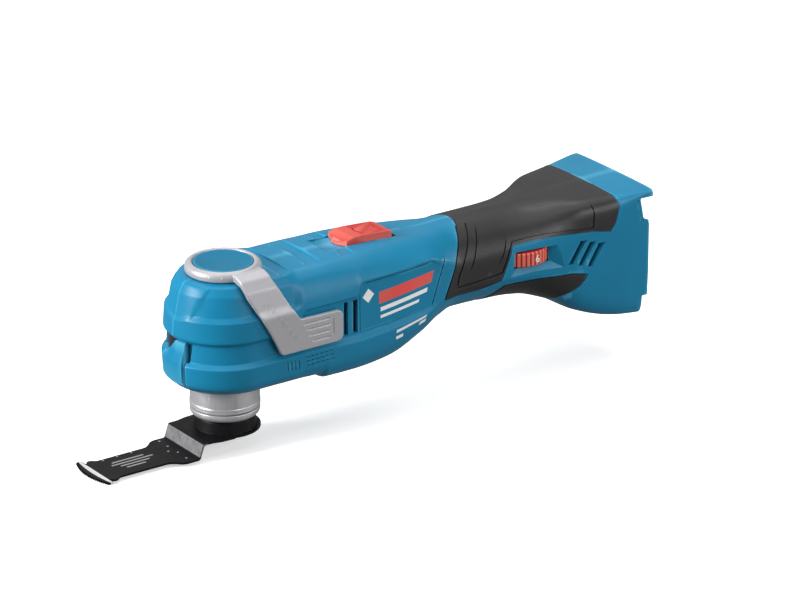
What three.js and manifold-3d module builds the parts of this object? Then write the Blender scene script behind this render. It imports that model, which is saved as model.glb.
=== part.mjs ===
// Cordless oscillating multi tool with a keyless lever clamp and a plunge blade.
// Millimetres, +Z up, +X from the blade to the battery seat, +Y to the tool's right.
// The spindle axis is the local origin; the last group moves it so that the origin
// is under the middle of the whole tool, on the plane of the blade's underside.
import * as THREE from 'three';
import * as BufferGeometryUtils from 'three/addons/utils/BufferGeometryUtils.js';
import Module from 'manifold-3d';

const wasm = await Module();
wasm.setup();

// ---------- driving dimensions ----------
const GAP = 0.3;                 // clearance between touching pieces
const WALL = 2.6;                // wall of the two housing shells
const RUBBER = 1.7;              // thickness of the moulded grip
const TOP = 105;                 // top of the lever cap above the blade's underside
const TAIL_X = 262;              // rear edge of the side walls
const ROOF_X = 264;              // rear edge of the roof
const BLADE_TIP_X = -89;
const MOTOR_Z = 65;              // height of the motor axis
const NECK_R = 19.3;             // gearbox collar below the head
const SPINDLE_R = 8.9;
const SPINDLE_BORE = 6.3;
const ECCENTRIC = 0.95;          // throw of the eccentric pin
const WIRE_R = 1.4;
const BOX_X = (BLADE_TIP_X + ROOF_X) / 2;

const COLOURS = {
  shell: [0x1c6f9a, 0.45, 0.0], rubber: [0x2b2a2d, 0.8, 0.0], silver: [0xb9b9bf, 0.35, 0.6],
  steel: [0xa5a8ab, 0.3, 0.9], blade: [0x1d1d20, 0.45, 0.4], red: [0xd84a42, 0.45, 0.0],
  black: [0x1b1c1e, 0.55, 0.0], alloy: [0x8f9296, 0.45, 0.8],
  clear: [0xe8eef2, 0.1, 0.0], brass: [0xc9a24a, 0.35, 0.9], board: [0x1f4f38, 0.6, 0.0],
};

// ---------- solids ----------
function signedVolume(index, pos) {
  const a = new THREE.Vector3();
  const b = new THREE.Vector3();
  const c = new THREE.Vector3();
  let sum = 0;
  for (let i = 0; i < index.length; i += 3) {
    a.fromArray(pos, index[i] * 3);
    b.fromArray(pos, index[i + 1] * 3);
    c.fromArray(pos, index[i + 2] * 3);
    sum += a.dot(b.cross(c));
  }
  return sum;
}

// A closed geometry becomes a manifold solid; triangles collapsed on an axis are dropped.
function solid(geometry) {
  const bare = geometry.clone();
  bare.deleteAttribute('normal');
  bare.deleteAttribute('uv');
  const merged = BufferGeometryUtils.mergeVertices(bare, 1e-4);
  const pos = Array.from(merged.attributes.position.array);
  let index = [];
  const raw = merged.index.array;
  for (let i = 0; i < raw.length; i += 3) {
    const [a, b, c] = [raw[i], raw[i + 1], raw[i + 2]];
    if (a !== b && b !== c && a !== c) index.push(a, b, c);
  }
  if (signedVolume(index, pos) < 0) index = index.reverse();
  return new wasm.Manifold(new wasm.Mesh({
    numProp: 3, vertProperties: new Float32Array(pos), triVerts: new Uint32Array(index),
  }));
}

function geometryOf(body) {
  const mesh = body.getMesh();
  const geometry = new THREE.BufferGeometry();
  const pos = new Float32Array(mesh.numVert * 3);
  for (let i = 0; i < mesh.numVert; i += 1) {
    for (let k = 0; k < 3; k += 1) pos[i * 3 + k] = mesh.vertProperties[i * mesh.numProp + k];
  }
  geometry.setAttribute('position', new THREE.BufferAttribute(pos, 3));
  geometry.setIndex(new THREE.BufferAttribute(new Uint32Array(mesh.triVerts), 1));
  geometry.computeVertexNormals();
  return geometry;
}

function box(x0, x1, y0, y1, z0, z1) {
  const geometry = new THREE.BoxGeometry(x1 - x0, y1 - y0, z1 - z0);
  geometry.translate((x0 + x1) / 2, (y0 + y1) / 2, (z0 + z1) / 2);
  return solid(geometry);
}

// Cylinder between two values of one axis, centred on the other two coordinates.
function cylinder(axis, from, to, radius, u, v, sides = 20) {
  const geometry = new THREE.CylinderGeometry(radius, radius, to - from, sides);
  const mid = (from + to) / 2;
  if (axis === 'x') geometry.rotateZ(Math.PI / 2).translate(mid, u, v);
  if (axis === 'y') geometry.translate(u, mid, v);
  if (axis === 'z') geometry.rotateX(Math.PI / 2).translate(u, v, mid);
  return solid(geometry);
}

// Ring of revolution about the vertical spindle axis: profile of [radius, height] pairs.
function turned(profile, sides = 20) {
  const points = profile.map(([r, z]) => new THREE.Vector2(r, z));
  points.push(points[0].clone());
  return solid(new THREE.LatheGeometry(points, sides).rotateX(Math.PI / 2));
}

// The same about the motor axis: profile of [radius, x] pairs.
function turnedOnMotor(profile, sides = 24, lift = 0) {
  const points = profile.map(([r, x]) => new THREE.Vector2(r, x));
  points.push(points[0].clone());
  const geometry = new THREE.LatheGeometry(points, sides).rotateZ(-Math.PI / 2);
  return solid(geometry.translate(0, 0, MOTOR_Z + lift));
}

function shapeOf(points) {
  return new THREE.Shape(points.map(([a, b]) => new THREE.Vector2(a, b)));
}

// Prism of an outline in the XZ plane, from y0 to y1.
function sidePrism(points, y0, y1) {
  const geometry = new THREE.ExtrudeGeometry(shapeOf(points), { depth: y1 - y0, bevelEnabled: false });
  return solid(geometry.rotateX(Math.PI / 2).translate(0, y1, 0));
}

// Prism of an outline in the XY plane, from z0 to z1.
function planPrism(points, z0, z1) {
  const geometry = new THREE.ExtrudeGeometry(shapeOf(points), { depth: z1 - z0, bevelEnabled: false });
  return solid(geometry.translate(0, 0, z0));
}

// Prism of an outline in the YZ plane, from x0 to x1.
function frontPrism(points, x0, x1) {
  const geometry = new THREE.ExtrudeGeometry(shapeOf(points), { depth: x1 - x0, bevelEnabled: false });
  geometry.applyMatrix4(new THREE.Matrix4().set(0, 0, 1, x0, 1, 0, 0, 0, 0, 1, 0, 0, 0, 0, 0, 1));
  return solid(geometry);
}

// Round tube along a smooth curve through a few hand-chosen points.
function tube(points, radius, steps, sides = 8) {
  const curve = new THREE.CatmullRomCurve3(points.map((p) => new THREE.Vector3(...p)));
  const ring = [];
  for (let i = 0; i < sides; i += 1) {
    const angle = (i / sides) * 2 * Math.PI;
    ring.push([radius * Math.cos(angle), radius * Math.sin(angle)]);
  }
  return solid(new THREE.ExtrudeGeometry(shapeOf(ring), { steps, extrudePath: curve }));
}

// ---------- outer form of the body ----------
// Half sections from the top centre line to the bottom centre line. Each column of the
// table is one rail that runs the length of the body: crown, deck edge, two points of the
// shoulder roll, side, upper ledge, brow edge, top and foot of the recessed band, ridge,
// skirt, chamfer and keel. A pair is [half width, height].
const HEAD = [
  [0, 98.8], [20.6, 98.7], [24.6, 97.9], [27.5, 93.2], [30.2, 82.6], [32.2, 80], [33, 68.8],
  [31, 66.3], [31.6, 56.2], [34, 53.9], [33.4, 42], [27.5, 37], [0, 35.3],
];
const STATIONS = [
  [0, HEAD],
  [24, HEAD],
  [32, [[0, 99.1], [18, 98.8], [23.5, 97.2], [28, 93.5], [31.8, 86], [33, 80], [33, 79],
    [31.7, 78.2], [31.8, 56.4], [34, 54], [33.2, 42.5], [27.5, 36.4], [0, 35.2]]],
  [44, [[0, 99.1], [18, 98.8], [23.5, 97.2], [28, 93.5], [31.8, 86], [33, 80], [33, 79],
    [31.7, 78.2], [31.8, 56.4], [34, 53.7], [33.2, 42], [27.5, 35.8], [0, 34.6]]],
  [47, [[0, 99.1], [18, 98.8], [23.5, 97.2], [28, 93.5], [31.8, 86], [33, 80], [33, 79],
    [31.7, 78.2], [31.8, 56.4], [34, 53.5], [33.2, 40.5], [27, 33], [0, 30.8]]],
  [66, [[0, 99.0], [17.5, 98.7], [23, 97], [28, 93], [31.6, 86.6], [33, 80], [33, 79],
    [31.7, 78.2], [31.8, 56.2], [33.9, 52.6], [33, 40.5], [26.5, 32.6], [0, 30.4]]],
  [69, [[0, 99.0], [17.5, 98.7], [23, 97], [28, 93], [31.4, 87.8], [32, 86.4], [32, 85.4],
    [31.2, 84.6], [31.4, 56.3], [33.8, 52.7], [32.8, 40.6], [26.4, 32.6], [0, 30.4]]],
  [90, [[0, 98.5], [16, 98.2], [22, 96.4], [27, 92.8], [30.8, 88], [31.5, 87], [31.5, 86],
    [30.6, 85.2], [30.6, 57.4], [32.6, 53.9], [31.2, 42.5], [25, 34], [0, 31.6]]],
  [116, [[0, 96.8], [13, 96.4], [19, 94.6], [24.5, 91.2], [28.6, 88.6], [29.2, 87.6], [29.2, 86.6],
    [28.4, 85.8], [28.4, 59.8], [29.4, 56.4], [27, 49], [20, 41], [0, 38.6]]],
  [128, [[0, 96.2], [11.8, 95.6], [18, 93.2], [22.8, 89.4], [26.4, 84.8], [27, 82.8], [27.1, 80.8],
    [27, 78.8], [26.8, 61.8], [26.4, 60.2], [23, 52], [16, 45.2], [0, 42.6]]],
  [142, [[0, 97], [11, 94.6], [17.4, 90.4], [21.3, 86], [24.1, 80.8], [25, 78], [25.3, 75.8],
    [25.5, 73.4], [24.9, 63.2], [23.9, 60.6], [18.6, 52.6], [11.2, 47.2], [0, 44.9]]],
  [170, [[0, 97], [11, 94.6], [17.4, 90.6], [21.5, 86.2], [24.5, 80.8], [25.3, 78], [25.6, 75.8],
    [25.8, 73.4], [25.6, 63], [24.9, 60.2], [19.6, 52.2], [11.8, 46.9], [0, 44.7]]],
  [187, [[0, 96.8], [11.2, 94.8], [18, 91.4], [22.4, 87], [25.6, 81.4], [26.4, 78.4], [26.7, 76],
    [26.9, 73.4], [27.2, 62.2], [26.6, 59], [21.6, 50.6], [13.2, 45.4], [0, 43.4]]],
  [203, [[0, 97], [13, 96], [20, 93.8], [25.2, 89.6], [28.4, 83.2], [29.0, 79.6], [29.3, 76.8],
    [29.5, 74], [29.9, 60], [29.6, 56], [26.4, 45], [18, 40.4], [0, 39]]],
  [220, [[0, 98], [21.6, 97.7], [27.6, 96.6], [31.2, 92.6], [32.6, 84], [32.7, 80], [32.8, 77],
    [32.8, 74], [32.9, 58], [32.9, 52], [31.2, 36.4], [24, 31], [0, 30]]],
  [237, [[0, 98.8], [27, 98.1], [31.6, 96.6], [34.2, 91.8], [34.9, 84], [34.9, 80], [34.9, 77],
    [34.9, 74], [34.9, 57], [34.9, 50], [33.6, 30.4], [28, 25.6], [0, 24.6]]],
  [250, [[0, 99], [31, 98.4], [34.4, 97.2], [35.8, 93.6], [35.9, 84], [35.9, 80], [35.9, 77],
    [35.8, 74], [35.8, 56], [35.8, 48], [34.6, 27.4], [30, 23.8], [0, 23.1]]],
  [264, [[0, 99.2], [34, 98.8], [36.3, 97.9], [36.6, 95.4], [36.2, 84], [36.1, 80], [36.1, 77],
    [36.1, 74], [36.1, 56], [36.1, 48], [35, 26.6], [31, 22.9], [0, 22.5]]],
];
const CORE_RAILS = [0, 1, 3, 4, 7, 8, 10, 11, 12];   // rails that shape the smooth inner side

function stationAt(x) {
  let i = 0;
  while (i < STATIONS.length - 2 && x > STATIONS[i + 1][0]) i += 1;
  const [x0, a] = STATIONS[i];
  const [x1, b] = STATIONS[i + 1];
  const t = Math.min(1, Math.max(0, (x - x0) / (x1 - x0)));
  const s = t * t * (3 - 2 * t) * 0.35 + t * 0.65;
  return a.map(([y, z], k) => [y + (b[k][0] - y) * s, z + (b[k][1] - z) * s]);
}

// Moves a half section inwards by a constant distance, square to its edges.
function inset(points, distance) {
  if (distance === 0) return points;
  const last = points.length - 1;
  return points.map(([y, z], i) => {
    if (i === 0) return [0, z - distance];
    if (i === last) return [0, z + distance];
    const [ya, za] = points[i - 1];
    const [yb, zb] = points[i + 1];
    const length = Math.hypot(yb - ya, zb - za);
    return [Math.max(0.5, y + (distance * (zb - za)) / length), z - (distance * (yb - ya)) / length];
  });
}

function halfSection(x, distance, rails) {
  const all = stationAt(x);
  return inset(rails.map((k) => all[k]), distance);
}

function ringAt(x, distance, rails) {
  const half = halfSection(x, distance, rails);
  const left = half.map(([y, z]) => new THREE.Vector3(x, -y, z));
  const right = half.slice(1, -1).reverse().map(([y, z]) => new THREE.Vector3(x, y, z));
  return left.concat(right);
}

// Closed skin through mirrored rings of equal count, capped flat at both ends.
function loft(rings) {
  const count = rings[0].length;
  const pos = [];
  rings.forEach((ring) => ring.forEach((p) => pos.push(p.x, p.y, p.z)));
  const index = [];
  for (let r = 0; r < rings.length - 1; r += 1) {
    for (let i = 0; i < count; i += 1) {
      const a = r * count + i;
      const b = r * count + ((i + 1) % count);
      index.push(a, b, b + count, a, b + count, a + count);
    }
  }
  const base = (rings.length - 1) * count;
  const twin = (i) => (count - i) % count;
  for (let i = 0; i < count / 2; i += 1) {
    const quad = [i, i + 1, twin(i + 1), twin(i)];
    [[0, 1, 2], [0, 2, 3]].forEach((corners) => {
      const [a, b, c] = corners.map((k) => quad[k]);
      if (a === b || b === c || a === c) return;
      index.push(c, b, a, base + a, base + b, base + c);
    });
  }
  const geometry = new THREE.BufferGeometry();
  geometry.setAttribute('position', new THREE.Float32BufferAttribute(pos, 3));
  geometry.setIndex(index);
  return solid(geometry);
}

const ALL_RAILS = HEAD.map((_, k) => k);
const SECTION_X = [0, 24, 32, 44, 47, 66, 69, 90, 103, 116, 128, 142, 170, 187, 195, 203, 212, 220,
  229, 237, 250, ROOF_X];

// The whole outer form moved inwards by a distance; rails picks the lines that are kept.
function bodyForm(distance, rails, endX = ROOF_X) {
  const head = inset(rails.map((k) => HEAD[k]), distance);
  const stations = SECTION_X.filter((x) => x < endX).concat([endX]);
  return turned(head, distance ? 24 : 30).add(loft(stations.map((x) => ringAt(x, distance, rails))));
}

const outerForm = bodyForm(0, ALL_RAILS);
const innerForm = bodyForm(WALL, CORE_RAILS, ROOF_X + 1);
const rubberFloor = bodyForm(RUBBER + GAP, ALL_RAILS);
const rubberBack = bodyForm(RUBBER, ALL_RAILS);
const rubberInner = bodyForm(WALL + RUBBER, CORE_RAILS);

// ---------- moulded grip outlines, seen from the side ----------
const GRIP_TOP = [
  [150, 110], [149.3, 96.2], [145.4, 92.9], [141.3, 86.9], [136.8, 80.4], [133, 71.1], [127.8, 59.6],
  [152.9, 59.3], [167, 62], [174.9, 81.2], [205.5, 82], [224.5, 81.4], [235.5, 79.4], [238.8, 84.1],
  [241.4, 92.8], [240.4, 97.3], [239.5, 110],
];
const GRIP_LOW = [
  [171, 57.3], [194, 57.7], [212, 57.5], [221.8, 55.9], [216.4, 49.7], [211.5, 46.8], [205.5, 43.6],
  [200, 36], [157, 36], [162, 48],
];

// Moves every edge of a closed outline outwards by a distance.
function grown(points, distance) {
  const count = points.length;
  const area = points.reduce((sum, [x, z], i) => {
    const [xn, zn] = points[(i + 1) % count];
    return sum + x * zn - xn * z;
  }, 0);
  const side = Math.sign(area) * distance;
  const normal = ([xa, za], [xb, zb]) => {
    const length = Math.hypot(xb - xa, zb - za);
    return [(zb - za) / length, -(xb - xa) / length];
  };
  return points.map((p, i) => {
    const n1 = normal(points[(i + count - 1) % count], p);
    const n2 = normal(p, points[(i + 1) % count]);
    const stretch = side / (1 + n1[0] * n2[0] + n1[1] * n2[1]);
    return [p[0] + (n1[0] + n2[0]) * stretch, p[1] + (n1[1] + n2[1]) * stretch];
  });
}

// ---------- housing shells ----------
const SCREWS = [[33.5, 91], [34.5, 41], [121, 49.5], [146, 86.5], [206, 88], [232, 36]];
const SCREW_HEAD_Y = 15;
const SCREW_TIP_Y = -13;
const SLOT = { x0: 62.5, x1: 107.8, half: 9.4 };
const DIAL = { x: 187.6, y: -11.3, r: 18, z0: 67.6, z1: 75.6 };
const SEAT = { y: 31, z0: 36.5, z1: 78 };
const FRONT_VENTS = [[57, 59.6], [63, 66]];
const REAR_VENTS = [[217, 76.5], [222.7, 74.9], [228.5, 73.3]];   // x and z of each slit's top
const NOTCH = [[255.8, 94.6], [258.3, 82.5], [261, 80.5], [ROOF_X + 2, 80.5], [ROOF_X + 2, 94.6]];
const ENTRY_X = 255.8;           // the pack's hooks enter through the right wall
const STOP_X = 258.5;            // and stop before the left one

function ventCuts() {
  const cuts = [];
  FRONT_VENTS.forEach(([x0, x1]) => {
    cuts.push(box(x0, x1, -40, -26, 57.5, 77), box(x0, x1, 26, 40, 57.5, 77));
  });
  REAR_VENTS.forEach(([x, z]) => {
    const slit = [[x, z], [x + 2.6, z], [x - 5, z - 13], [x - 7.6, z - 13]];
    cuts.push(sidePrism(slit, -40, -24), sidePrism(slit, 24, 40));
  });
  return cuts;
}

function noseOpening() {
  return planPrism([[-40, -10.2], [-40, 10.2], [-24, 7.2], [-24, -7.2]], 41.2, 67.8);
}

function rightBoss([x, z]) {
  return cylinder('y', 0, 34, 4.8, x, z, 10);
}

function leftBoss([x, z]) {
  return cylinder('y', -34, 0, 3.6, x, z, 8);
}

function wholeHousing() {
  const gripTop = sidePrism(grown(GRIP_TOP, GAP), -45, 45);
  const gripLow = sidePrism(grown(GRIP_LOW, GAP), -45, 45);
  const pocket = gripTop.subtract(rubberFloor).add(gripLow.subtract(rubberFloor));
  const gripBay = box(121.3, 244.2, -45, 45, 20, 110);
  const hollow = innerForm.subtract(gripBay).add(rubberInner.intersect(gripBay));
  let bosses = rightBoss(SCREWS[0]).add(leftBoss(SCREWS[0]));
  SCREWS.slice(1).forEach((s) => {
    bosses = bosses.add(rightBoss(s)).add(leftBoss(s));
  });
  let body = outerForm.subtract(hollow).add(bosses.intersect(rubberFloor)).subtract(pocket);
  SCREWS.forEach(([x, z]) => {
    body = body.subtract(cylinder('y', SCREW_HEAD_Y - 4, 45, 3.7, x, z, 10));
    body = body.subtract(cylinder('y', SCREW_TIP_Y - 1, SCREW_HEAD_Y, 1.9, x, z, 8));
  });
  body = body.subtract(cylinder('z', 90, 110, 15, 0, 0, 28));
  body = body.subtract(cylinder('z', 20, 42, NECK_R + GAP, 0, 0, 32));
  body = body.subtract(box(SLOT.x0, SLOT.x1, -SLOT.half, SLOT.half, 92, 110));
  body = body.subtract(cylinder('z', DIAL.z0 - 0.6, DIAL.z1 + 0.6, DIAL.r + 0.6, DIAL.x, DIAL.y, 24));
  body = body.subtract(box(TAIL_X, ROOF_X + 2, -45, 45, 15, 94.6));
  body = body.subtract(sidePrism(NOTCH, -45, 0));
  body = body.subtract(box(ENTRY_X, ROOF_X + 2, -SEAT.y, 45, 80.5, 94.6));
  body = body.subtract(box(ENTRY_X, ROOF_X + 2, -SEAT.y, 45, 15, 35));
  body = body.subtract(box(STOP_X, ROOF_X + 2, -45, 0, 15, 35));
  body = body.subtract(noseOpening());
  ventCuts().forEach((cut) => {
    body = body.subtract(cut);
  });
  return body;
}

const housing = wholeHousing();
const leftSide = box(-60, 300, -60, -GAP / 2, -10, 130);
const rightSide = box(-60, 300, GAP / 2, 60, -10, 130);

function grip(outline) {
  let body = outerForm.subtract(rubberBack).intersect(sidePrism(outline, -45, 45));
  SCREWS.forEach(([x, z]) => {
    body = body.subtract(cylinder('y', 10, 45, 3.7, x, z, 10));
  });
  return body;
}
const gripTop = grip(GRIP_TOP);
const gripLow = grip(GRIP_LOW);

function noseCap() {
  const shape = planPrism([[-40, -9.9], [-40, 9.9], [-29.5, 7.6], [-29.5, -7.6]], 41.5, 62);
  const form = turned([[29.6, 41], [33.2, 41.5], [34.2, 46], [34.2, 60], [31.4, 62], [29.6, 62]], 40);
  return form.intersect(shape);
}

function ledLens() {
  const form = turned([[27.6, 62.6], [31, 62.6], [30.4, 67.2], [27.6, 67.2]], 40);
  return form.intersect(box(-40, -20, -6.4, 6.4, 60, 70));
}

// ---------- lever ----------
function lever() {
  const ring = turned([[8.2, 91.8], [13.8, 91.8], [13.8, 99.2], [21, 99.2], [21, 101.4], [20, 103.8],
    [18.6, 104.8], [17.2, 104.6], [16.8, 103.2], [8.2, 103.2]], 28);
  const skinYZ = [[-17.5, 99.4], [-21.5, 99.4], [-25.6, 98.4], [-28.6, 94.8], [-31.2, 84.4],
    [-33, 81.6], [-33.2, 57.2], [-35.8, 57.2], [-35.8, 80.5], [-34, 84], [-31.2, 96], [-27, 101.2],
    [-21.8, 103.2], [-17.5, 103.2]];
  const outlineXZ = [[-6.5, 104], [-6, 98], [-4.6, 93], [2, 81], [8, 70], [13.2, 59.5], [16, 57.4],
    [50, 57.4], [54, 61], [54, 71.5], [50.5, 75], [27.5, 76], [25, 78], [21, 84], [15, 95], [12.5, 100],
    [12, 104]];
  const arm = frontPrism(skinYZ, -20, 60).intersect(sidePrism(outlineXZ, -45, -10));
  return ring.add(arm);
}

function leverCap() {
  return turned([[0.01, 103.5], [16.4, 103.5], [16.4, 104.2], [14.8, 104.8], [0.01, TOP]], 24);
}

function releasePlunger() {
  return turned([[0.01, 31.4], [2.9, 31.4], [2.9, 60.4], [5.6, 60.4], [5.6, 62.6], [2.9, 62.6],
    [2.9, 92.8], [6.4, 92.8], [6.4, 97.5], [0.01, 97.5]], 14);
}

function clampSpring() {
  const turns = 5.5;
  const perTurn = 8;
  const low = 36;
  const pitch = 4.2;
  const points = [];
  for (let i = 0; i <= turns * perTurn; i += 1) {
    const angle = (i / perTurn) * 2 * Math.PI;
    points.push([4.6 * Math.cos(angle), 4.6 * Math.sin(angle), low + (i / perTurn) * pitch]);
  }
  return tube(points, 0.7, turns * perTurn, 4);
}

// ---------- spindle group ----------
const PIN = { x: 3.4, z: 25 };   // hook pivots, either side of the spindle axis

function outputSpindle() {
  const body = turned([[SPINDLE_BORE, 17.2], [8.4, 17.2], [8.4, 21.6], [SPINDLE_R, 21.6],
    [SPINDLE_R, 31.6], [10.6, 31.6], [10.6, 34], [SPINDLE_R, 34], [SPINDLE_R, 87.3], [4.6, 87.3],
    [4.6, 63], [SPINDLE_BORE, 63], [SPINDLE_BORE, 35], [3.4, 35], [3.4, 32.4], [SPINDLE_BORE, 32.4]], 16);
  return body.subtract(cylinder('y', -12, 12, 1.2, -PIN.x, PIN.z, 8))
    .subtract(cylinder('y', -12, 12, 1.2, PIN.x, PIN.z, 8));
}

function toolHolder() {
  return turned([[9.2, 16.7], [18.6, 16.7], [19.3, 17.8], [19.3, 20.9], [9.2, 20.9]], 24);
}

function forkArm() {
  const ring = cylinder('z', 57, 69, 15, 0, 0, 20)
    .subtract(cylinder('z', 50, 75, SPINDLE_R + 2 * GAP, 0, 0, 20));
  const legs = box(11.5, 38, -11, -7, 58, 72).add(box(11.5, 38, 7, 11, 58, 72));
  return ring.add(legs.subtract(cylinder('z', 50, 75, 12, 0, 0, 20)));
}

function bladeOutline() {
  const half = [[-20, 17.6], [-36, 17.6], [-38.6, 16.6], [-40.6, 14.4], [-43.6, 12.3], [-46, 12],
    [-75, 12], [-78, 14.2], [-80.2, 14.2], [-82, 11.4], [-82.3, 16.4]];
  return half.concat(half.slice().reverse().map(([x, y]) => [x, -y]));
}

function blade() {
  const hub = turned([[8.6, 15.1], [14.9, 15.1], [16.7, 9.1], [16.7, 8], [19.4, 8], [19.4, 9.2],
    [17.6, 9.4], [15.8, 16.4], [8.6, 16.4]], 24);
  const upper = planPrism([[-23.4, -17.6], [-16, -18.4], [-8, -18.4], [-8, 18.4], [-16, 18.4],
    [-23.4, 17.6]], 8, 9.2).subtract(cylinder('z', 0, 20, 17.2, 0, 0, 24));
  const step = sidePrism([[-21, 8], [-21, 9.2], [-23.4, 9.2], [-25.4, 1.2], [-27.5, 1.2],
    [-27.5, 0], [-24.4, 0], [-22.2, 8]], -17.6, 17.6);
  const shank = planPrism(bladeOutline(), 0, 1.2).subtract(box(-25.8, 0, -30, 30, -5, 5));
  return hub.add(upper).add(step).add(shank);
}

function cuttingEdge() {
  const arc = [];
  for (let i = -6; i <= 6; i += 1) arc.push([BLADE_TIP_X + 0.11 * i * i * 0.9, (i * 16.7) / 6]);
  return planPrism([[-82.6, 16.7], [-82.6, -16.7], ...arc], 0, 1.2);
}

// Two-armed hook in the slotted end of the spindle: it holds the hub from below.
function clampHook(side) {
  const outline = [[1.2, 27], [4.6, 27.4], [5.6, 25], [5.4, 15.4], [9.9, 14.6], [9.9, 13], [5.6, 11.6],
    [3.2, 13], [3.2, 21], [1.2, 23.4]];
  const points = side > 0 ? outline : outline.map(([x, z]) => [-x, z]);
  return sidePrism(points, -1.6, 1.6).subtract(cylinder('y', -5, 5, 1.1, side * PIN.x, PIN.z, 8));
}

function hookPin(side) {
  return cylinder('y', -8, 8, 0.8, side * PIN.x, PIN.z, 8);
}

// ---------- gearbox ----------
const COVER_SCREW_Y = 20;

function coverScrewHoles() {
  const holes = [-1, 1].map((side) => cylinder('z', 82, 95, 1.5, 0, side * COVER_SCREW_Y, 8));
  return holes[0].add(holes[1]);
}

function gearboxHousing() {
  const body = turned([[13.3, 21.4], [NECK_R, 21.4], [NECK_R, 39.4], [24, 39.4], [27, 43.3],
    [27, 50], [22.4, 53], [22, 88], [18, 88], [18, 34.6], [11.2, 34.6], [11.2, 31.4], [13.3, 31.4]], 24);
  return body.subtract(box(6, 40, -14, 14, 54, 76)).subtract(coverScrewHoles());
}

function gearboxCover() {
  return turned([[7.4, 87.7], [14.3, 87.7], [14.3, 78], [17.7, 78], [17.7, 88.3], [22, 88.3],
    [22, 91.4], [7.4, 91.4]], 20).subtract(coverScrewHoles());
}

// Sealed bearing: one ring with a shallow step on each face at the shield.
function spindleBearing(r1, z0, z1) {
  const shield = r1 - 1.2;
  return turned([[SPINDLE_R + GAP, z0 + 0.4], [shield, z0 + 0.4], [r1, z0], [r1, z1],
    [shield, z1 - 0.4], [SPINDLE_R + GAP, z1 - 0.4]], 20);
}

function motorBearing(r0, r1, x0, x1, lift = 0) {
  return turnedOnMotor([[r0, x0], [r1, x0], [r1, x1], [r0, x1]], 20, lift);
}

// ---------- motor ----------
function rotorShaft() {
  const pin = cylinder('x', 27.5, 39, 3, 0, MOTOR_Z + ECCENTRIC, 16);
  const shaft = turnedOnMotor([[0.01, 38.6], [4, 38.6], [4, 47], [5, 47], [5, 106], [3.5, 106],
    [3.5, 117], [0.01, 117]], 16);
  return shaft.add(pin);
}

function counterweight() {
  const disc = turnedOnMotor([[5.3, 48.6], [12, 48.6], [12, 52.6], [5.3, 52.6]], 20);
  return disc.subtract(box(40, 60, -20, 20, MOTOR_Z + 7, MOTOR_Z + 20));
}

function coolingFan() {
  let fan = turnedOnMotor([[5.3, 54], [9, 54], [9, 64.4], [21.4, 65], [21.4, 66.4], [5.3, 66.4]], 20);
  const vanes = 9;
  for (let i = 0; i < vanes; i += 1) {
    const vane = new THREE.BoxGeometry(10, 12.6, 1.2);
    vane.rotateX(0.45).translate(60.2, 14.6, 0);
    vane.rotateX((i / vanes) * 2 * Math.PI).translate(0, 0, MOTOR_Z);
    fan = fan.add(solid(vane));
  }
  return fan;
}

function rotorCore() {
  return turnedOnMotor([[5.3, 70], [14.6, 70], [14.6, 102], [5.3, 102]], 24);
}

function stator() {
  let body = turnedOnMotor([[19.6, 69.4], [23.6, 69.4], [23.6, 102.6], [19.6, 102.6]], 24);
  for (let i = 0; i < 6; i += 1) {
    const tooth = new THREE.BoxGeometry(33, 8, 5);
    tooth.translate(86, 0, 18.4);
    tooth.rotateX((i / 6) * 2 * Math.PI).translate(0, 0, MOTOR_Z);
    body = body.add(solid(tooth));
  }
  return body;
}

function frontShield() {
  const disc = turnedOnMotor([[9.8, 40.4], [24.5, 40.4], [24.5, 46.6], [9.8, 46.6]], 28);
  return disc.subtract(box(35, 50, 14, 20, MOTOR_Z - 8, MOTOR_Z + 8))
    .subtract(box(35, 50, -20, -14, MOTOR_Z - 8, MOTOR_Z + 8));
}

function rearShield() {
  return turnedOnMotor([[8.8, 107.4], [18, 107.4], [18, 114.4], [8.8, 114.4]], 24);
}

// ---------- switch train, electronics ----------
function sliderButton() {
  const cap = sidePrism([[71, 94], [71, 98.8], [73, 100], [81, 102.2], [84, 102.2], [102, 101],
    [105, 100.2], [106.6, 98.2], [106.8, 94]], -9, 9);
  return cap.add(box(57, 111.6, -11, 11, 92.9, 94.2));
}

function linkRod() {
  return box(92, 131, -2, 2, 89, 91.2).add(box(127.6, 131, -2, 2, 87.2, 91))
    .add(box(92, 96, -2, 2, 90, 92.6));
}

function switchModule() {
  return box(117, 140, -8, 8, 74, 86.8).subtract(box(118.5, 134, -1.2, 1.2, 84, 88));
}

function controller() {
  let body = box(128, 168, -13, 13, 58, 67);
  for (let i = 0; i < 6; i += 1) body = body.add(box(131 + i * 6, 133 + i * 6, -12, 12, 66.5, 71));
  return body;
}

function speedDial() {
  const points = [];
  const ribs = 36;
  for (let i = 0; i < ribs; i += 1) {
    const angle = (i / ribs) * 2 * Math.PI;
    const r = i % 2 ? DIAL.r : DIAL.r - 0.7;
    points.push([DIAL.x + r * Math.cos(angle), DIAL.y + r * Math.sin(angle)]);
  }
  return planPrism(points, DIAL.z0, DIAL.z1).subtract(cylinder('z', 60, 80, 3.1, DIAL.x, DIAL.y, 12));
}

function potentiometer() {
  return box(180, 194, -17, -4, 59.5, 66.5)
    .add(cylinder('z', 66, 73.5, 2.8, DIAL.x, DIAL.y, 12));
}

// ---------- battery interface ----------
function batteryMount() {
  const plate = box(244.6, 249, -31.4, 31.4, 28, 94.6).intersect(bodyForm(WALL + 2 * GAP, CORE_RAILS));
  return plate.add(box(248, TAIL_X, -SEAT.y, SEAT.y, SEAT.z0, SEAT.z1))
    .subtract(box(251.5, 270, -20, 12, 44.5, 70))
    .subtract(box(257.5, 270, -29, -24.5, 50, 64));
}

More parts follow.
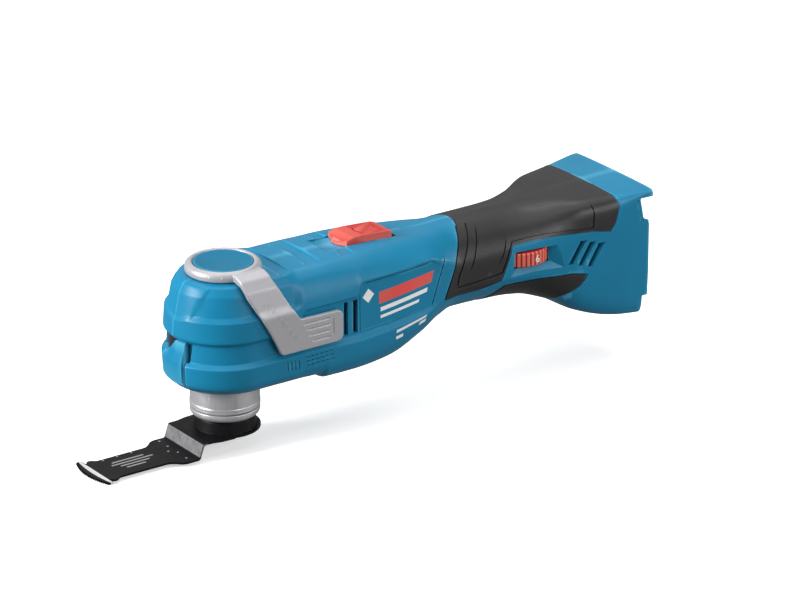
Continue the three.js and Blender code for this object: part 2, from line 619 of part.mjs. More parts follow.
function rail(top) {
  const sign = top ? 1 : -1;
  const base = top ? SEAT.z1 + GAP : SEAT.z0 - GAP;
  const points = [[249.4, base], [TAIL_X, base], [TAIL_X, base + sign * 5.2], [260.2, base + sign * 5.2],
    [260.2, base + sign * 1.6], [249.4, base + sign * 1.6]];
  return sidePrism(points, -SEAT.y, SEAT.y);
}

function terminalBlock() {
  return box(251.8, 254.6, -19.6, 11.6, 45, 69.5);
}

function contact(i) {
  const z = 48.6 + i * 5.8;
  return box(254.9, 261, -14, 2, z, z + 0.9);
}

function batteryWire(points) {
  return tube(points, WIRE_R, 14, 6);
}

function housingScrew([x, z]) {
  return cylinder('y', SCREW_TIP_Y, 10.8, 1.5, x, z, 8)
    .add(cylinder('y', 11.3, 14.2, 3.2, x, z, 10)).add(cylinder('y', 10, 11.6, 1.5, x, z, 8))
    .subtract(cylinder('y', 12.6, 16, 1.3, x, z, 6));
}

function gearboxScrew(side) {
  const y = side * COVER_SCREW_Y;
  return cylinder('z', 84, 92, 1.2, 0, y, 8).add(cylinder('z', 91.7, 93.8, 2.6, 0, y, 10));
}

// ---------- assembly ----------
const tool = new THREE.Group();
tool.position.x = -BOX_X;

function add(name, body, look) {
  const [color, roughness, metalness] = COLOURS[look];
  const material = new THREE.MeshStandardMaterial({ color, roughness, metalness });
  const mesh = new THREE.Mesh(geometryOf(body), material);
  mesh.name = name;
  tool.add(mesh);
}

add('left_housing', housing.intersect(leftSide), 'shell');
add('right_housing', housing.intersect(rightSide), 'shell');
add('grip_top_left', gripTop.intersect(leftSide), 'rubber');
add('grip_top_right', gripTop.intersect(rightSide), 'rubber');
add('grip_low_left', gripLow.intersect(leftSide), 'rubber');
add('grip_low_right', gripLow.intersect(rightSide), 'rubber');
add('nose_cap', noseCap(), 'shell');
add('led_lens', ledLens(), 'clear');
add('led_board', box(-26.8, -25.2, -6, 6, 60.5, 69), 'board');
add('gearbox_housing', gearboxHousing(), 'silver');
add('gearbox_cover', gearboxCover(), 'alloy');
[-1, 1].forEach((side, i) => add(`gearbox_screw_${i + 1}`, gearboxScrew(side), 'steel'));
add('upper_spindle_bearing', spindleBearing(14, 78.4, 87.2), 'steel');
add('lower_spindle_bearing', spindleBearing(13, 22, 31), 'steel');
add('output_spindle', outputSpindle(), 'steel');
add('fork_arm', forkArm(), 'alloy');
add('tool_holder', toolHolder(), 'silver');
add('clamp_hook_front', clampHook(-1), 'steel');
add('clamp_hook_rear', clampHook(1), 'steel');
add('hook_pin_front', hookPin(-1), 'steel');
add('hook_pin_rear', hookPin(1), 'steel');
add('clamp_spring', clampSpring(), 'steel');
add('release_plunger', releasePlunger(), 'steel');
add('lever', lever(), 'silver');
add('lever_cap', leverCap(), 'shell');
add('blade', blade(), 'blade');
add('cutting_edge', cuttingEdge(), 'steel');
add('rotor_shaft', rotorShaft(), 'steel');
add('eccentric_bearing', motorBearing(3.3, 5, 28.5, 36.5, ECCENTRIC), 'steel');
add('counterweight', counterweight(), 'brass');
add('cooling_fan', coolingFan(), 'black');
add('rotor_core', rotorCore(), 'alloy');
add('stator', stator(), 'alloy');
add('motor_front_bearing', motorBearing(4.3, 9.5, 40.6, 46.4), 'steel');
add('motor_rear_bearing', motorBearing(3.8, 8.5, 107.8, 114), 'steel');
add('motor_front_shield', frontShield(), 'alloy');
add('motor_rear_shield', rearShield(), 'alloy');
add('controller', controller(), 'black');
add('switch_module', switchModule(), 'black');
add('slider_button', sliderButton(), 'red');
add('link_rod', linkRod(), 'black');
add('speed_dial', speedDial(), 'red');
add('potentiometer', potentiometer(), 'black');
add('battery_mount', batteryMount(), 'black');
add('battery_rail_top', rail(true), 'steel');
add('battery_rail_low', rail(false), 'steel');
add('terminal_block', terminalBlock(), 'black');
for (let i = 0; i < 4; i += 1) add(`contact_${i + 1}`, contact(i), 'brass');
SCREWS.forEach((s, i) => add(`housing_screw_${i + 1}`, housingScrew(s), 'steel'));
add('battery_wire_red', batteryWire([[244, 9, 62], [225, 9, 60], [200, 9, 56], [185, 8, 58],
  [168.4, 7, 62]]), 'red');
add('battery_wire_black', batteryWire([[244, 16, 62], [225, 16, 60], [200, 15, 56], [185, 12, 60],
  [168.4, 11, 62]]), 'black');

const model = new THREE.Group();
model.add(tool);

export default model;
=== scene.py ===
"""Looks of the oscillating multi tool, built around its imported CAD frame.

Shapes are worked out in tool millimetres: x runs from the spindle axis towards the battery
seat, y to the tool's right and z up from the plane of the blade's underside. place() turns
them into metres in the frame. The body's outer form is one set of rails, which the housing,
the grips and every pocket share.
"""

import math

import bmesh
import bpy
import numpy as np
from mathutils import Matrix, Vector


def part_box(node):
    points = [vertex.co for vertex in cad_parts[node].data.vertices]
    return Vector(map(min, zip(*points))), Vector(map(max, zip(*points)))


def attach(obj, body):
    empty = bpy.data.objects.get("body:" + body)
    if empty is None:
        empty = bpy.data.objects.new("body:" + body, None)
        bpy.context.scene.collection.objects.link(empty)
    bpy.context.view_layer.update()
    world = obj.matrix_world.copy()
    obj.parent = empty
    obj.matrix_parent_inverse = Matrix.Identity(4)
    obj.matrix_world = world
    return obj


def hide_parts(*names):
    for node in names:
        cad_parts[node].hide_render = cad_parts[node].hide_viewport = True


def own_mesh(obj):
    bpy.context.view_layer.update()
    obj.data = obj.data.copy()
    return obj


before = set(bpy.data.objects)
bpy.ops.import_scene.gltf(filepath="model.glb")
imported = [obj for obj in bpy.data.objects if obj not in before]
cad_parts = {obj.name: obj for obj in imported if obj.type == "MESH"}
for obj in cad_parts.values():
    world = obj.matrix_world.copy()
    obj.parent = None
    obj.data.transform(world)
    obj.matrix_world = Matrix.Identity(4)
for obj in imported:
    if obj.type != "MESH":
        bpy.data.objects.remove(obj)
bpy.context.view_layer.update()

MM = 0.001
low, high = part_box("output_spindle")
AXIS_X = (low.x + high.x) / 2          # spindle axis in the frame, metres
GAP = 0.3                              # clearance between touching pieces
SEAM = 0.05                            # half the parting line between the shells
WALL = 2.6                             # housing wall
RUBBER = 1.7                           # thickness of the moulded grip
TAIL_X = 262.0                         # rear edge of the side walls
ROOF_X = 264.0                         # rear edge of the roof
ROOF_Z = 94.6                          # underside of the roof over the battery seat
CHANNEL_X = 255.8                      # front of the channels that the pack's rails run in
NECK_R = 19.3                          # gearbox collar
LEVER_TOP = 105.0                      # height the camera looks at, just over the lever
REACH = 45.0                           # half width of a cutter that passes through the whole body
FAR = 60.0                             # a distance outside the body, for the blocks that keep one side

# ---- rails of the outer form
# Half sections from the top centre line to the keel: crown, deck edge, two points of the
# shoulder roll, side, upper ledge, brow edge, top and foot of the recessed band, ridge,
# skirt, chamfer and keel. A pair is [half width, height].
HEAD = [
    [0, 98.8], [20.6, 98.7], [24.6, 97.9], [27.5, 93.2], [30.2, 82.6], [32.2, 80], [33, 68.8],
    [31, 66.3], [31.6, 56.2], [34, 53.9], [33.4, 42], [27.5, 37], [0, 35.3],
]
HEAD_SOFT = [0, 0.1, 0.35, 0.2, 0.14, 0.12, 0.25, 0.25, 0.1, 0.16, 0.5, 0.5, 0]
BARREL_SOFT = [0, 0.8, 1, 1, 1, 0.9, 0.6, 0.5, 0.15, 0.3, 0.8, 0.8, 0.4]
ROUND = [1] * 13
TAIL_SOFT = [1, 0.9, 0.9, 0.8, 1, 1, 1, 1, 1, 1, 0.9, 0.6, 0.3]

# The front of the barrel keeps its upper points and only its underside changes.
UPPER_BARREL = [
    [0, 99.1], [18, 98.8], [23.5, 97.2], [28, 93.5], [31.8, 86], [33, 80], [33, 79], [31.7, 78.2],
    [31.8, 56.4],
]

# Each station: x, half section and softness of its corners.
STATIONS = [
    (0, HEAD, HEAD_SOFT),
    (24, HEAD, HEAD_SOFT),
    (32, UPPER_BARREL + [[34, 54], [33.2, 42.5], [27.5, 36.4], [0, 35.2]], BARREL_SOFT),
    (44, UPPER_BARREL + [[34, 53.7], [33.2, 42], [27.5, 35.8], [0, 34.6]], BARREL_SOFT),
    (47, UPPER_BARREL + [[34, 53.5], [33.2, 40.5], [27, 33], [0, 30.8]], BARREL_SOFT),
    (66, [[0, 99.0], [17.5, 98.7], [23, 97], [28, 93], [31.6, 86.6], [33, 80], [33, 79],
          [31.7, 78.2], [31.8, 56.2], [33.9, 52.6], [33, 40.5], [26.5, 32.6], [0, 30.4]], BARREL_SOFT),
    (69, [[0, 99.0], [17.5, 98.7], [23, 97], [28, 93], [31.4, 87.8], [32, 86.4], [32, 85.4],
          [31.2, 84.6], [31.4, 56.3], [33.8, 52.7], [32.8, 40.6], [26.4, 32.6], [0, 30.4]], BARREL_SOFT),
    (90, [[0, 98.5], [16, 98.2], [22, 96.4], [27, 92.8], [30.8, 88], [31.5, 87], [31.5, 86],
          [30.6, 85.2], [30.6, 57.4], [32.6, 53.9], [31.2, 42.5], [25, 34], [0, 31.6]], BARREL_SOFT),
    (116, [[0, 96.8], [13, 96.4], [19, 94.6], [24.5, 91.2], [28.6, 88.6], [29.2, 87.6], [29.2, 86.6],
           [28.4, 85.8], [28.4, 59.8], [29.4, 56.4], [27, 49], [20, 41], [0, 38.6]], BARREL_SOFT),
    (128, [[0, 96.2], [11.8, 95.6], [18, 93.2], [22.8, 89.4], [26.4, 84.8], [27, 82.8], [27.1, 80.8],
           [27, 78.8], [26.8, 61.8], [26.4, 60.2], [23, 52], [16, 45.2], [0, 42.6]], ROUND),
    (142, [[0, 97], [11, 94.6], [17.4, 90.4], [21.3, 86], [24.1, 80.8], [25, 78], [25.3, 75.8],
           [25.5, 73.4], [24.9, 63.2], [23.9, 60.6], [18.6, 52.6], [11.2, 47.2], [0, 44.9]], ROUND),
    (170, [[0, 97], [11, 94.6], [17.4, 90.6], [21.5, 86.2], [24.5, 80.8], [25.3, 78], [25.6, 75.8],
           [25.8, 73.4], [25.6, 63], [24.9, 60.2], [19.6, 52.2], [11.8, 46.9], [0, 44.7]], ROUND),
    (187, [[0, 96.8], [11.2, 94.8], [18, 91.4], [22.4, 87], [25.6, 81.4], [26.4, 78.4], [26.7, 76],
           [26.9, 73.4], [27.2, 62.2], [26.6, 59], [21.6, 50.6], [13.2, 45.4], [0, 43.4]], ROUND),
    (203, [[0, 97], [13, 96], [20, 93.8], [25.2, 89.6], [28.4, 83.2], [29.0, 79.6], [29.3, 76.8],
           [29.5, 74], [29.9, 60], [29.6, 56], [26.4, 45], [18, 40.4], [0, 39]], ROUND),
    (220, [[0, 98], [21.6, 97.7], [27.6, 96.6], [31.2, 92.6], [32.6, 84], [32.7, 80], [32.8, 77],
           [32.8, 74], [32.9, 58], [32.9, 52], [31.2, 36.4], [24, 31], [0, 30]], TAIL_SOFT),
    (237, [[0, 98.8], [27, 98.1], [31.6, 96.6], [34.2, 91.8], [34.9, 84], [34.9, 80], [34.9, 77],
           [34.9, 74], [34.9, 57], [34.9, 50], [33.6, 30.4], [28, 25.6], [0, 24.6]], TAIL_SOFT),
    (250, [[0, 99], [31, 98.4], [34.4, 97.2], [35.8, 93.6], [35.9, 84], [35.9, 80], [35.9, 77],
           [35.8, 74], [35.8, 56], [35.8, 48], [34.6, 27.4], [30, 23.8], [0, 23.1]], TAIL_SOFT),
    (264, [[0, 99.2], [34, 98.8], [36.3, 97.9], [36.6, 95.4], [36.2, 84], [36.1, 80], [36.1, 77],
           [36.1, 74], [36.1, 56], [36.1, 48], [35, 26.6], [31, 22.9], [0, 22.5]], TAIL_SOFT),
]
CORE_RAILS = [0, 1, 3, 4, 7, 8, 10, 11, 12]
ALL_RAILS = list(range(13))

GRIP_BAY = (121.3, 244.2)              # from where to where the grips take up wall
# Side outlines of the upper and the lower grip.
GRIP_TOP = [
    [150, 110], [149.3, 96.2], [145.4, 92.9], [141.3, 86.9], [136.8, 80.4], [133, 71.1], [127.8, 59.6],
    [152.9, 59.3], [167, 62], [174.9, 81.2], [205.5, 82], [224.5, 81.4], [235.5, 79.4], [238.8, 84.1],
    [241.4, 92.8], [240.4, 97.3], [239.5, 110],
]
GRIP_LOW = [
    [171, 57.3], [194, 57.7], [212, 57.5], [221.8, 55.9], [216.4, 49.7], [211.5, 46.8], [205.5, 43.6],
    [200, 36], [157, 36], [162, 48],
]


# ---- small geometry tools
def monotone(xs, ys, at):
    """Smooth interpolation through points without overshoot; ys may have any trailing shape."""
    xs = np.asarray(xs, float)
    ys = np.asarray(ys, float)
    h = np.diff(xs)
    shape = (-1,) + (1,) * (ys.ndim - 1)
    slope = np.diff(ys, axis=0) / h.reshape(shape)
    tangent = np.zeros_like(ys)
    left, right = slope[:-1], slope[1:]
    w1 = (2 * h[1:] + h[:-1]).reshape(shape)
    w2 = (h[1:] + 2 * h[:-1]).reshape(shape)
    same = left * right > 0
    safe_left = np.where(same, left, 1)
    safe_right = np.where(same, right, 1)
    tangent[1:-1] = np.where(same, (w1 + w2) / (w1 / safe_left + w2 / safe_right), 0)
    i = int(np.clip(np.searchsorted(xs, at, side="right") - 1, 0, len(h) - 1))
    t = (at - xs[i]) / h[i]
    a, b = ys[i], ys[i + 1]
    return (
        a * (2 * t**3 - 3 * t**2 + 1)
        + tangent[i] * h[i] * (t**3 - 2 * t**2 + t)
        + b * (3 * t**2 - 2 * t**3)
        + tangent[i + 1] * h[i] * (t**3 - t**2)
    )


def inset(points, distance):
    """Moves a half section inwards, square to its edges."""
    if distance == 0:
        return points
    moved = points.copy()
    moved[0, 1] -= distance
    moved[-1, 1] += distance
    along = points[2:] - points[:-2]
    length = np.hypot(along[:, 0], along[:, 1])
    moved[1:-1, 0] = np.maximum(0.5, points[1:-1, 0] + distance * along[:, 1] / length)
    moved[1:-1, 1] = points[1:-1, 1] - distance * along[:, 0] / length
    return moved


def rounded_section(points, soft, corner_steps, flat_steps):
    """Polyline through a half section whose corners are rounded by their softness, 0 to 1."""
    mirror = points * [-1, 1]
    padded = np.vstack([mirror[1], points, mirror[-2]])
    out = []
    last = len(points) - 1
    for k in range(last + 1):
        before, corner, after = padded[k], padded[k + 1], padded[k + 2]
        start = corner + (before - corner) * 0.5 * soft[k]
        end = corner + (after - corner) * 0.5 * soft[k]
        first = 0.5 if k == 0 else 0.0
        final = 0.5 if k == last else 1.0
        for t in np.linspace(first, final, corner_steps):
            out.append(start * (1 - t) ** 2 + corner * 2 * t * (1 - t) + end * t**2)
        if k < last:
            following = padded[k + 2] + (padded[k + 1] - padded[k + 2]) * 0.5 * soft[k + 1]
            for t in np.arange(1, flat_steps + 1) / (flat_steps + 1):
                out.append(end + (following - end) * t)
    section = np.array(out)
    section[0, 0] = 0
    section[-1, 0] = 0
    return section


RAIL_X = [s[0] for s in STATIONS]
RAIL_POINTS = np.array([s[1] for s in STATIONS], float)
RAIL_SOFT = np.array([s[2] for s in STATIONS], float)


def front_lines(theta):
    """The head's rails: its ledges dip a little at the very front."""
    points = np.array(HEAD, float)
    dip = math.exp(-((theta / math.radians(16)) ** 2))
    points[3, 1] -= 1.0 * dip
    points[4:6, 1] -= 2.2 * dip
    points[8:10, 1] -= 1.8 * dip
    return points


PAD_RAISE = 0.6
# Height and angle in degrees of the pad's slanted edge.
PAD_EDGE = [(79.5, 20), (81, 22), (84.2, 25), (87.5, 28), (91, 32), (94.4, 36), (98, 40)]


def front_pad(theta, z):
    """Extra radius of the slightly proud front of the head, with slanted edges."""
    heights, turns = zip(*PAD_EDGE)
    edge = np.interp(z, heights, turns)
    across = np.clip((edge - math.degrees(theta)) / 3.0 + 0.5, 0, 1)
    return PAD_RAISE * across * np.clip((z - 79) / 2, 0, 1) * np.clip((98.4 - z) / 1.5, 0, 1)


# Extra cross-sections where the rails bend quickly.
EXTRA_STOPS = {22.0, 24.0, 25.5, 30.5, 32.0, 44.0, 44.7, 45.5, 46.3, 47.0, 66.0, 66.8, 67.5, 68.2, 69.0}


def body_form(offset=0.0, rails=ALL_RAILS, corner_steps=5, flat_steps=2, turn_steps=60, pitch=1.8):
    """Vertices and faces of the whole outer form moved inwards by offset, closed at the rear."""
    columns = []
    soft_head = np.array(HEAD_SOFT, float)[rails]
    for theta in np.linspace(0, math.pi / 2, turn_steps + 1):
        half = rounded_section(inset(front_lines(theta)[rails], offset), soft_head, corner_steps, flat_steps)
        c, s = math.cos(theta), math.sin(theta)
        half[1:-1, 0] += front_pad(theta, half[1:-1, 1])
        columns.append([(-r * c, -r * s, z) for r, z in half])
    count = int(ROOF_X / pitch)
    stops = set(np.linspace(0, ROOF_X, count + 1)[1:].tolist()) | EXTRA_STOPS
    for x in sorted(stops):
        points = monotone(RAIL_X, RAIL_POINTS, x)[rails]
        soft = monotone(RAIL_X, RAIL_SOFT, x)[rails]
        half = rounded_section(inset(points, offset), soft, corner_steps, flat_steps)
        columns.append([(x, -y, z) for y, z in half])
    grid = np.array(columns)
    n_cols, n_rows = grid.shape[:2]
    faces = []
    for j in range(n_cols - 1):
        for i in range(n_rows - 1):
            a = j * n_rows + i
            faces.append((a, a + 1, a + n_rows + 1, a + n_rows))
    left = grid.reshape(-1, 3)
    base = len(left)
    verts = np.vstack([left, left * [1, -1, 1]])
    faces += [tuple(base + v for v in reversed(f)) for f in faces]
    end = (n_cols - 1) * n_rows
    for i in range(n_rows - 1):
        faces.append((end + i, end + i + 1, base + end + i + 1, base + end + i))
    return verts, faces


def solid(name, verts, faces, weld=1e-3):
    """A closed mesh object in tool millimetres, with its normals pointing out."""
    mesh = bpy.data.meshes.new(name)
    mesh.from_pydata([tuple(map(float, v)) for v in verts], [], faces)
    bm = bmesh.new()
    bm.from_mesh(mesh)
    bmesh.ops.remove_doubles(bm, verts=bm.verts, dist=weld)
    bmesh.ops.dissolve_degenerate(bm, edges=bm.edges, dist=weld)
    bmesh.ops.recalc_face_normals(bm, faces=bm.faces)
    if bm.calc_volume(signed=True) < 0:
        bmesh.ops.reverse_faces(bm, faces=bm.faces)
    bm.to_mesh(mesh)
    bm.free()
    return add_object(name, mesh)


def add_object(name, data):
    """A new object of the scene."""
    obj = bpy.data.objects.new(name, data)
    bpy.context.scene.collection.objects.link(obj)
    return obj


def combine(obj, others, operation="DIFFERENCE"):
    """Applies boolean cuts, joins or intersections and deletes the tools used."""
    for other in others:
        mod = obj.modifiers.new("bool", "BOOLEAN")
        mod.operation = operation
        mod.solver = "MANIFOLD"
        mod.object = other
    return apply_modifiers(obj, others)


def within(obj, keep):
    """Keeps the part of a piece that lies inside another one."""
    return combine(obj, [keep], "INTERSECT")


def joined(parts):
    """One piece made of several."""
    return combine(parts[0], parts[1:], "UNION") if len(parts) > 1 else parts[0]


def apply_modifiers(obj, spent=()):
    """Bakes the modifiers into the mesh and deletes the pieces they used up."""
    depsgraph = bpy.context.evaluated_depsgraph_get()
    mesh = bpy.data.meshes.new_from_object(obj.evaluated_get(depsgraph))
    old = obj.data
    obj.modifiers.clear()
    obj.data = mesh
    bpy.data.meshes.remove(old)
    for other in spent:
        discard(other)
    return obj


def discard(obj):
    """Deletes a piece and its mesh."""
    mesh = obj.data
    bpy.data.objects.remove(obj)
    bpy.data.meshes.remove(mesh)


def copy_of(obj, name="copy"):
    """A second piece with a mesh of its own."""
    return add_object(name, obj.data.copy())


def loft(name, rings, close=True):
    """Skin through closed rings of equal count, with flat caps."""
    count = len(rings[0])
    verts = [p for ring in rings for p in ring]
    faces = []
    for r in range(len(rings) - 1):
        for i in range(count):
            a = r * count + i
            b = r * count + (i + 1) % count
            faces.append((a, b, b + count, a + count))
    if close:
        faces.append(tuple(range(count - 1, -1, -1)))
        top = (len(rings) - 1) * count
        faces.append(tuple(top + i for i in range(count)))
    return solid(name, verts, faces)


def rectangle(x0, x1, y0, y1):
    """Corners of an upright rectangle."""
    return [(x0, y0), (x1, y0), (x1, y1), (x0, y1)]


def side_prism(name, outline, y0=-REACH, y1=REACH):
    """Prism of an outline in the XZ plane."""
    return loft(name, [[(x, y, z) for x, z in outline] for y in (y0, y1)])


def plan_prism(name, outline, z0, z1):
    """Prism of an outline in the XY plane."""
    return loft(name, [[(x, y, z) for x, y in outline] for z in (z0, z1)])


def box(name, x0, x1, y0, y1, z0, z1):
    """A block between two corners."""
    return plan_prism(name, rectangle(x0, x1, y0, y1), z0, z1)


def one_side(side):
    """A block that holds one half of the tool, up to the parting line."""
    return box("keep", -FAR, 300, *sorted((side * SEAM, side * FAR)), -10, 130)


def circle(cx, cy, radius, sides):
    """Corners of a circle."""
    turn = [2 * math.pi * i / sides for i in range(sides)]
    return [(cx + radius * math.cos(a), cy + radius * math.sin(a)) for a in turn]


def turned(name, profile, sides=96):
    """Ring or disc of revolution about the spindle axis; profile is a closed loop of (r, z)."""
    verts, faces = [], []
    n = len(profile)
    for i in range(sides):
        a = 2 * math.pi * i / sides
        for r, z in profile:
            verts.append((r * math.cos(a), r * math.sin(a), z))
    for i in range(sides):
        for k in range(n):
            a, b = i * n + k, i * n + (k + 1) % n
            c, d = ((i + 1) % sides) * n + (k + 1) % n, ((i + 1) % sides) * n + k
            faces.append((a, b, c, d))
    return solid(name, verts, faces)


def filleted(outline, radii, steps=6):
    """Closed outline with its corners rounded; radii is one number or one per corner."""
    count = len(outline)
    radii = [radii] * count if isinstance(radii, (int, float)) else radii
    out = []
    for i, corner in enumerate(outline):
        p = Vector(corner)
        a = Vector(outline[i - 1]) - p
        b = Vector(outline[(i + 1) % count]) - p
        angle = a.angle(b)
        cut = radii[i] / max(1e-6, math.tan(angle / 2)) if radii[i] else 0
        cut = min(cut, 0.48 * a.length, 0.48 * b.length)
        if cut < 1e-4:
            out.append(tuple(p))
            continue
        start, end = p + a.normalized() * cut, p + b.normalized() * cut
        for k in range(steps + 1):
            t = k / steps
            q = start * (1 - t) ** 2 + p * 2 * t * (1 - t) + end * t**2
            out.append(tuple(q))
    return out


def grown(outline, distance):
    """Closed outline with every edge moved outwards by a distance."""
    after = outline[1:] + outline[:1]
    area = sum(a[0] * b[1] - b[0] * a[1] for a, b in zip(outline, after))
    side = math.copysign(distance, area)
    out = []
    for i, corner in enumerate(outline):
        p = Vector(corner)
        a = (p - Vector(outline[i - 1])).normalized()
        b = (Vector(after[i]) - p).normalized()
        n1, n2 = Vector((a.y, -a.x)), Vector((b.y, -b.x))
        out.append(tuple(p + (n1 + n2) * (side / max(0.3, 1 + n1.dot(n2)))))
    return out


def smooth_by_angle(obj, degrees):
    """Shades a piece smooth, except over edges sharper than an angle."""
    mesh = obj.data
    bm = bmesh.new()
    bm.from_mesh(mesh)
    limit = math.radians(degrees)
    for face in bm.faces:
        face.smooth = True
    for edge in bm.edges:
        edge.smooth = len(edge.link_faces) == 2 and edge.calc_face_angle(0) < limit
    bm.to_mesh(mesh)
    bm.free()


def place(obj, body, material, degrees=32, replaces=()):
    """Finishes a piece: metres, frame position, shading, material and its CAD body."""
    obj.data.transform(Matrix.Translation((AXIS_X, 0, 0)) @ Matrix.Scale(MM, 4))
    smooth_by_angle(obj, degrees)
    weigh = obj.modifiers.new("normals", "WEIGHTED_NORMAL")
    weigh.keep_sharp = True
    obj.data.materials.clear()
    obj.data.materials.append(material)
    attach(obj, body)
    if replaces:
        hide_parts(*replaces)
    return obj


# ---- cutters on the body's surface
def section_at(x):
    """Fine half section of the outer form, as an array of (half width, height)."""
    points = monotone(RAIL_X, RAIL_POINTS, min(max(x, 0.01), ROOF_X - 0.01))
    soft = monotone(RAIL_X, RAIL_SOFT, min(max(x, 0.01), ROOF_X - 0.01))
    return rounded_section(points, soft, 5, 2)


def half_width(x, z):
    """Half width of the barrel or tail at a height."""
    section = section_at(x)
    order = np.argsort(section[:, 1])
    return float(np.interp(z, section[order, 1], section[order, 0]))


def densely(points, pitch=1.2):
    """Extra points along a polyline."""
    out = []
    for start, end in zip(points, points[1:]):
        a, b = Vector(start), Vector(end)
        steps = max(1, int((b - a).length / pitch))
        out += [tuple(a.lerp(b, k / steps)) for k in range(steps)]
    out.append(tuple(points[-1]))
    return out


def ribbon(points, width, taper=2.5):
    """Outline of a narrow band along an XZ polyline, pointed at both ends."""
    pts = [Vector(p) for p in densely(points, 0.9)]
    run = [0.0]
    for a, b in zip(pts, pts[1:]):
        run.append(run[-1] + (b - a).length)
    sides = ([], [])
    for i, p in enumerate(pts):
        along = (pts[min(i + 1, len(pts) - 1)] - pts[max(i - 1, 0)]).normalized()
        half = 0.5 * width * min(1.0, 0.15 + min(run[i], run[-1] - run[i]) / taper)
        sides[0].append((p.x - along.y * half, p.y + along.x * half))
        sides[1].append((p.x + along.y * half, p.y - along.x * half))
    return sides[0] + sides[1][::-1]


def skin_deep(outlines, depth, side):
    """Prisms through XZ outlines that only reach a little way into the body's surface."""
    prisms = [side_prism("cut", outline, *sorted((side * 10, side * REACH))) for outline in outlines]
    return combine(joined(prisms), [form("floor", depth)])


def tube(name, points, radius, sides=8, fade=0):
    """Round bar through 3-D points, with closed ends; fade tapers that many points at each end."""
    pts = [Vector(p) for p in points]
    last = len(pts) - 1
    turn = [2 * math.pi * k / sides for k in range(sides)]
    rings = []
    normal = None
    for i, p in enumerate(pts):
        along = (pts[min(i + 1, last)] - pts[max(i - 1, 0)]).normalized()
        if normal is None:
            normal = along.orthogonal().normalized()
        normal = (normal - along * normal.dot(along)).normalized()
        other = along.cross(normal)
        r = radius * min(1.0, 0.12 + min(i, last - i) / fade) if fade else radius
        rings.append([tuple(p + (normal * math.cos(a) + other * math.sin(a)) * r) for a in turn])
    return loft(name, rings)


# ---- materials
class Nodes:
    """Short way to write a node tree."""

    def __init__(self, name):
        self.material = bpy.data.materials.new(name)
        self.material.use_nodes = True
        self.tree = self.material.node_tree
        self.shader = self.tree.nodes["Principled BSDF"]
        self.coords = self.add("ShaderNodeTexCoord").outputs["Object"]

    def add(self, kind, **settings):
        node = self.tree.nodes.new(kind)
        for key, value in settings.items():
            setattr(node, key, value)
        return node

    def link(self, a, b):
        self.tree.links.new(a, b)

    def noise(self, scale, detail=3.0, stretch=(1, 1, 1), roughness=0.5):
        mapping = self.add("ShaderNodeMapping")
        mapping.inputs["Scale"].default_value = stretch
        self.link(self.coords, mapping.inputs["Vector"])
        noise = self.add("ShaderNodeTexNoise")
        noise.inputs["Scale"].default_value = scale
        noise.inputs["Detail"].default_value = detail
        noise.inputs["Roughness"].default_value = roughness
        self.link(mapping.outputs["Vector"], noise.inputs["Vector"])
        return noise.outputs["Fac"]

    def remap(self, value, a, b, c, d):
        node = self.add("ShaderNodeMapRange")
        for key, number in zip(("From Min", "From Max", "To Min", "To Max"), (a, b, c, d)):
            node.inputs[key].default_value = number
        self.link(value, node.inputs["Value"])
        return node.outputs["Result"]

    def mix(self, factor, a, b):
        node = self.add("ShaderNodeMix", data_type="RGBA")
        self.link(factor, node.inputs[0])
        for socket, value in ((node.inputs[6], a), (node.inputs[7], b)):
            if isinstance(value, tuple):
                socket.default_value = value
            else:
                self.link(value, socket)
        return node.outputs[2]

    def times(self, a, b):
        """Product of a socket and a socket or number."""
        node = self.add("ShaderNodeMath", operation="MULTIPLY")
        self.link(a, node.inputs[0])
        if isinstance(b, float):
            node.inputs[1].default_value = b
        else:
            self.link(b, node.inputs[1])
        return node.outputs[0]

    def bump(self, height, strength, distance):
        node = self.add("ShaderNodeBump")
        node.inputs["Strength"].default_value = strength
        node.inputs["Distance"].default_value = distance
        self.link(height, node.inputs["Height"])
        self.link(node.outputs["Normal"], self.shader.inputs["Normal"])

    def edges(self, low_point, high_point):
        """Where the surface turns sharply: outwards above 0.5 and inwards below it."""
        geometry = self.add("ShaderNodeNewGeometry")
        return self.remap(geometry.outputs["Pointiness"], low_point, high_point, 0, 1)

    def fix(self, name, value):
        """Sets an input of the main shader."""
        self.shader.inputs[name].default_value = value

    def drive(self, name, socket):
        """Links a socket to an input of the main shader."""
        self.link(socket, self.shader.inputs[name])

    def rough(self, scale, detail, least, most):
        """Lets the roughness wander between two values."""
        self.drive("Roughness", self.remap(self.noise(scale, detail), 0.3, 0.7, least, most))


def scaled(colour, factor, lift=0.0):
    """A colour made darker or lighter, opaque."""
    return tuple(min(1, c * factor + lift) for c in colour[:3]) + (1,)


def plastic(name, base, edge_highlight, roughness, specular=0.5, variation=0.06):
    """Moulded plastic: spark-eroded grain and faint flow clouds, with painted shade darkening the creases
    and a painted highlight lightening the sharp edges.
    """
    n = Nodes(name)
    clouds = n.remap(n.noise(35, 4), 0.35, 0.7, 0, 1)
    tint = n.mix(clouds, scaled(base, 1 - variation), scaled(base, 1 + variation))
    # Painted shade: creases and inner corners are darkened to under half the base colour.
    shaded = n.mix(n.edges(0.485, 0.43), tint, scaled(base, 0.45))
    # Painted highlight: sharp outer edges are mixed towards a paler colour.
    n.drive("Base Color", n.mix(n.edges(0.515, 0.58), shaded, edge_highlight))
    n.rough(90, 5, roughness - 0.05, roughness + 0.07)
    n.bump(n.noise(2600, 2), 0.35, 0.00004)
    n.fix("Specular IOR Level", specular)
    return n.material


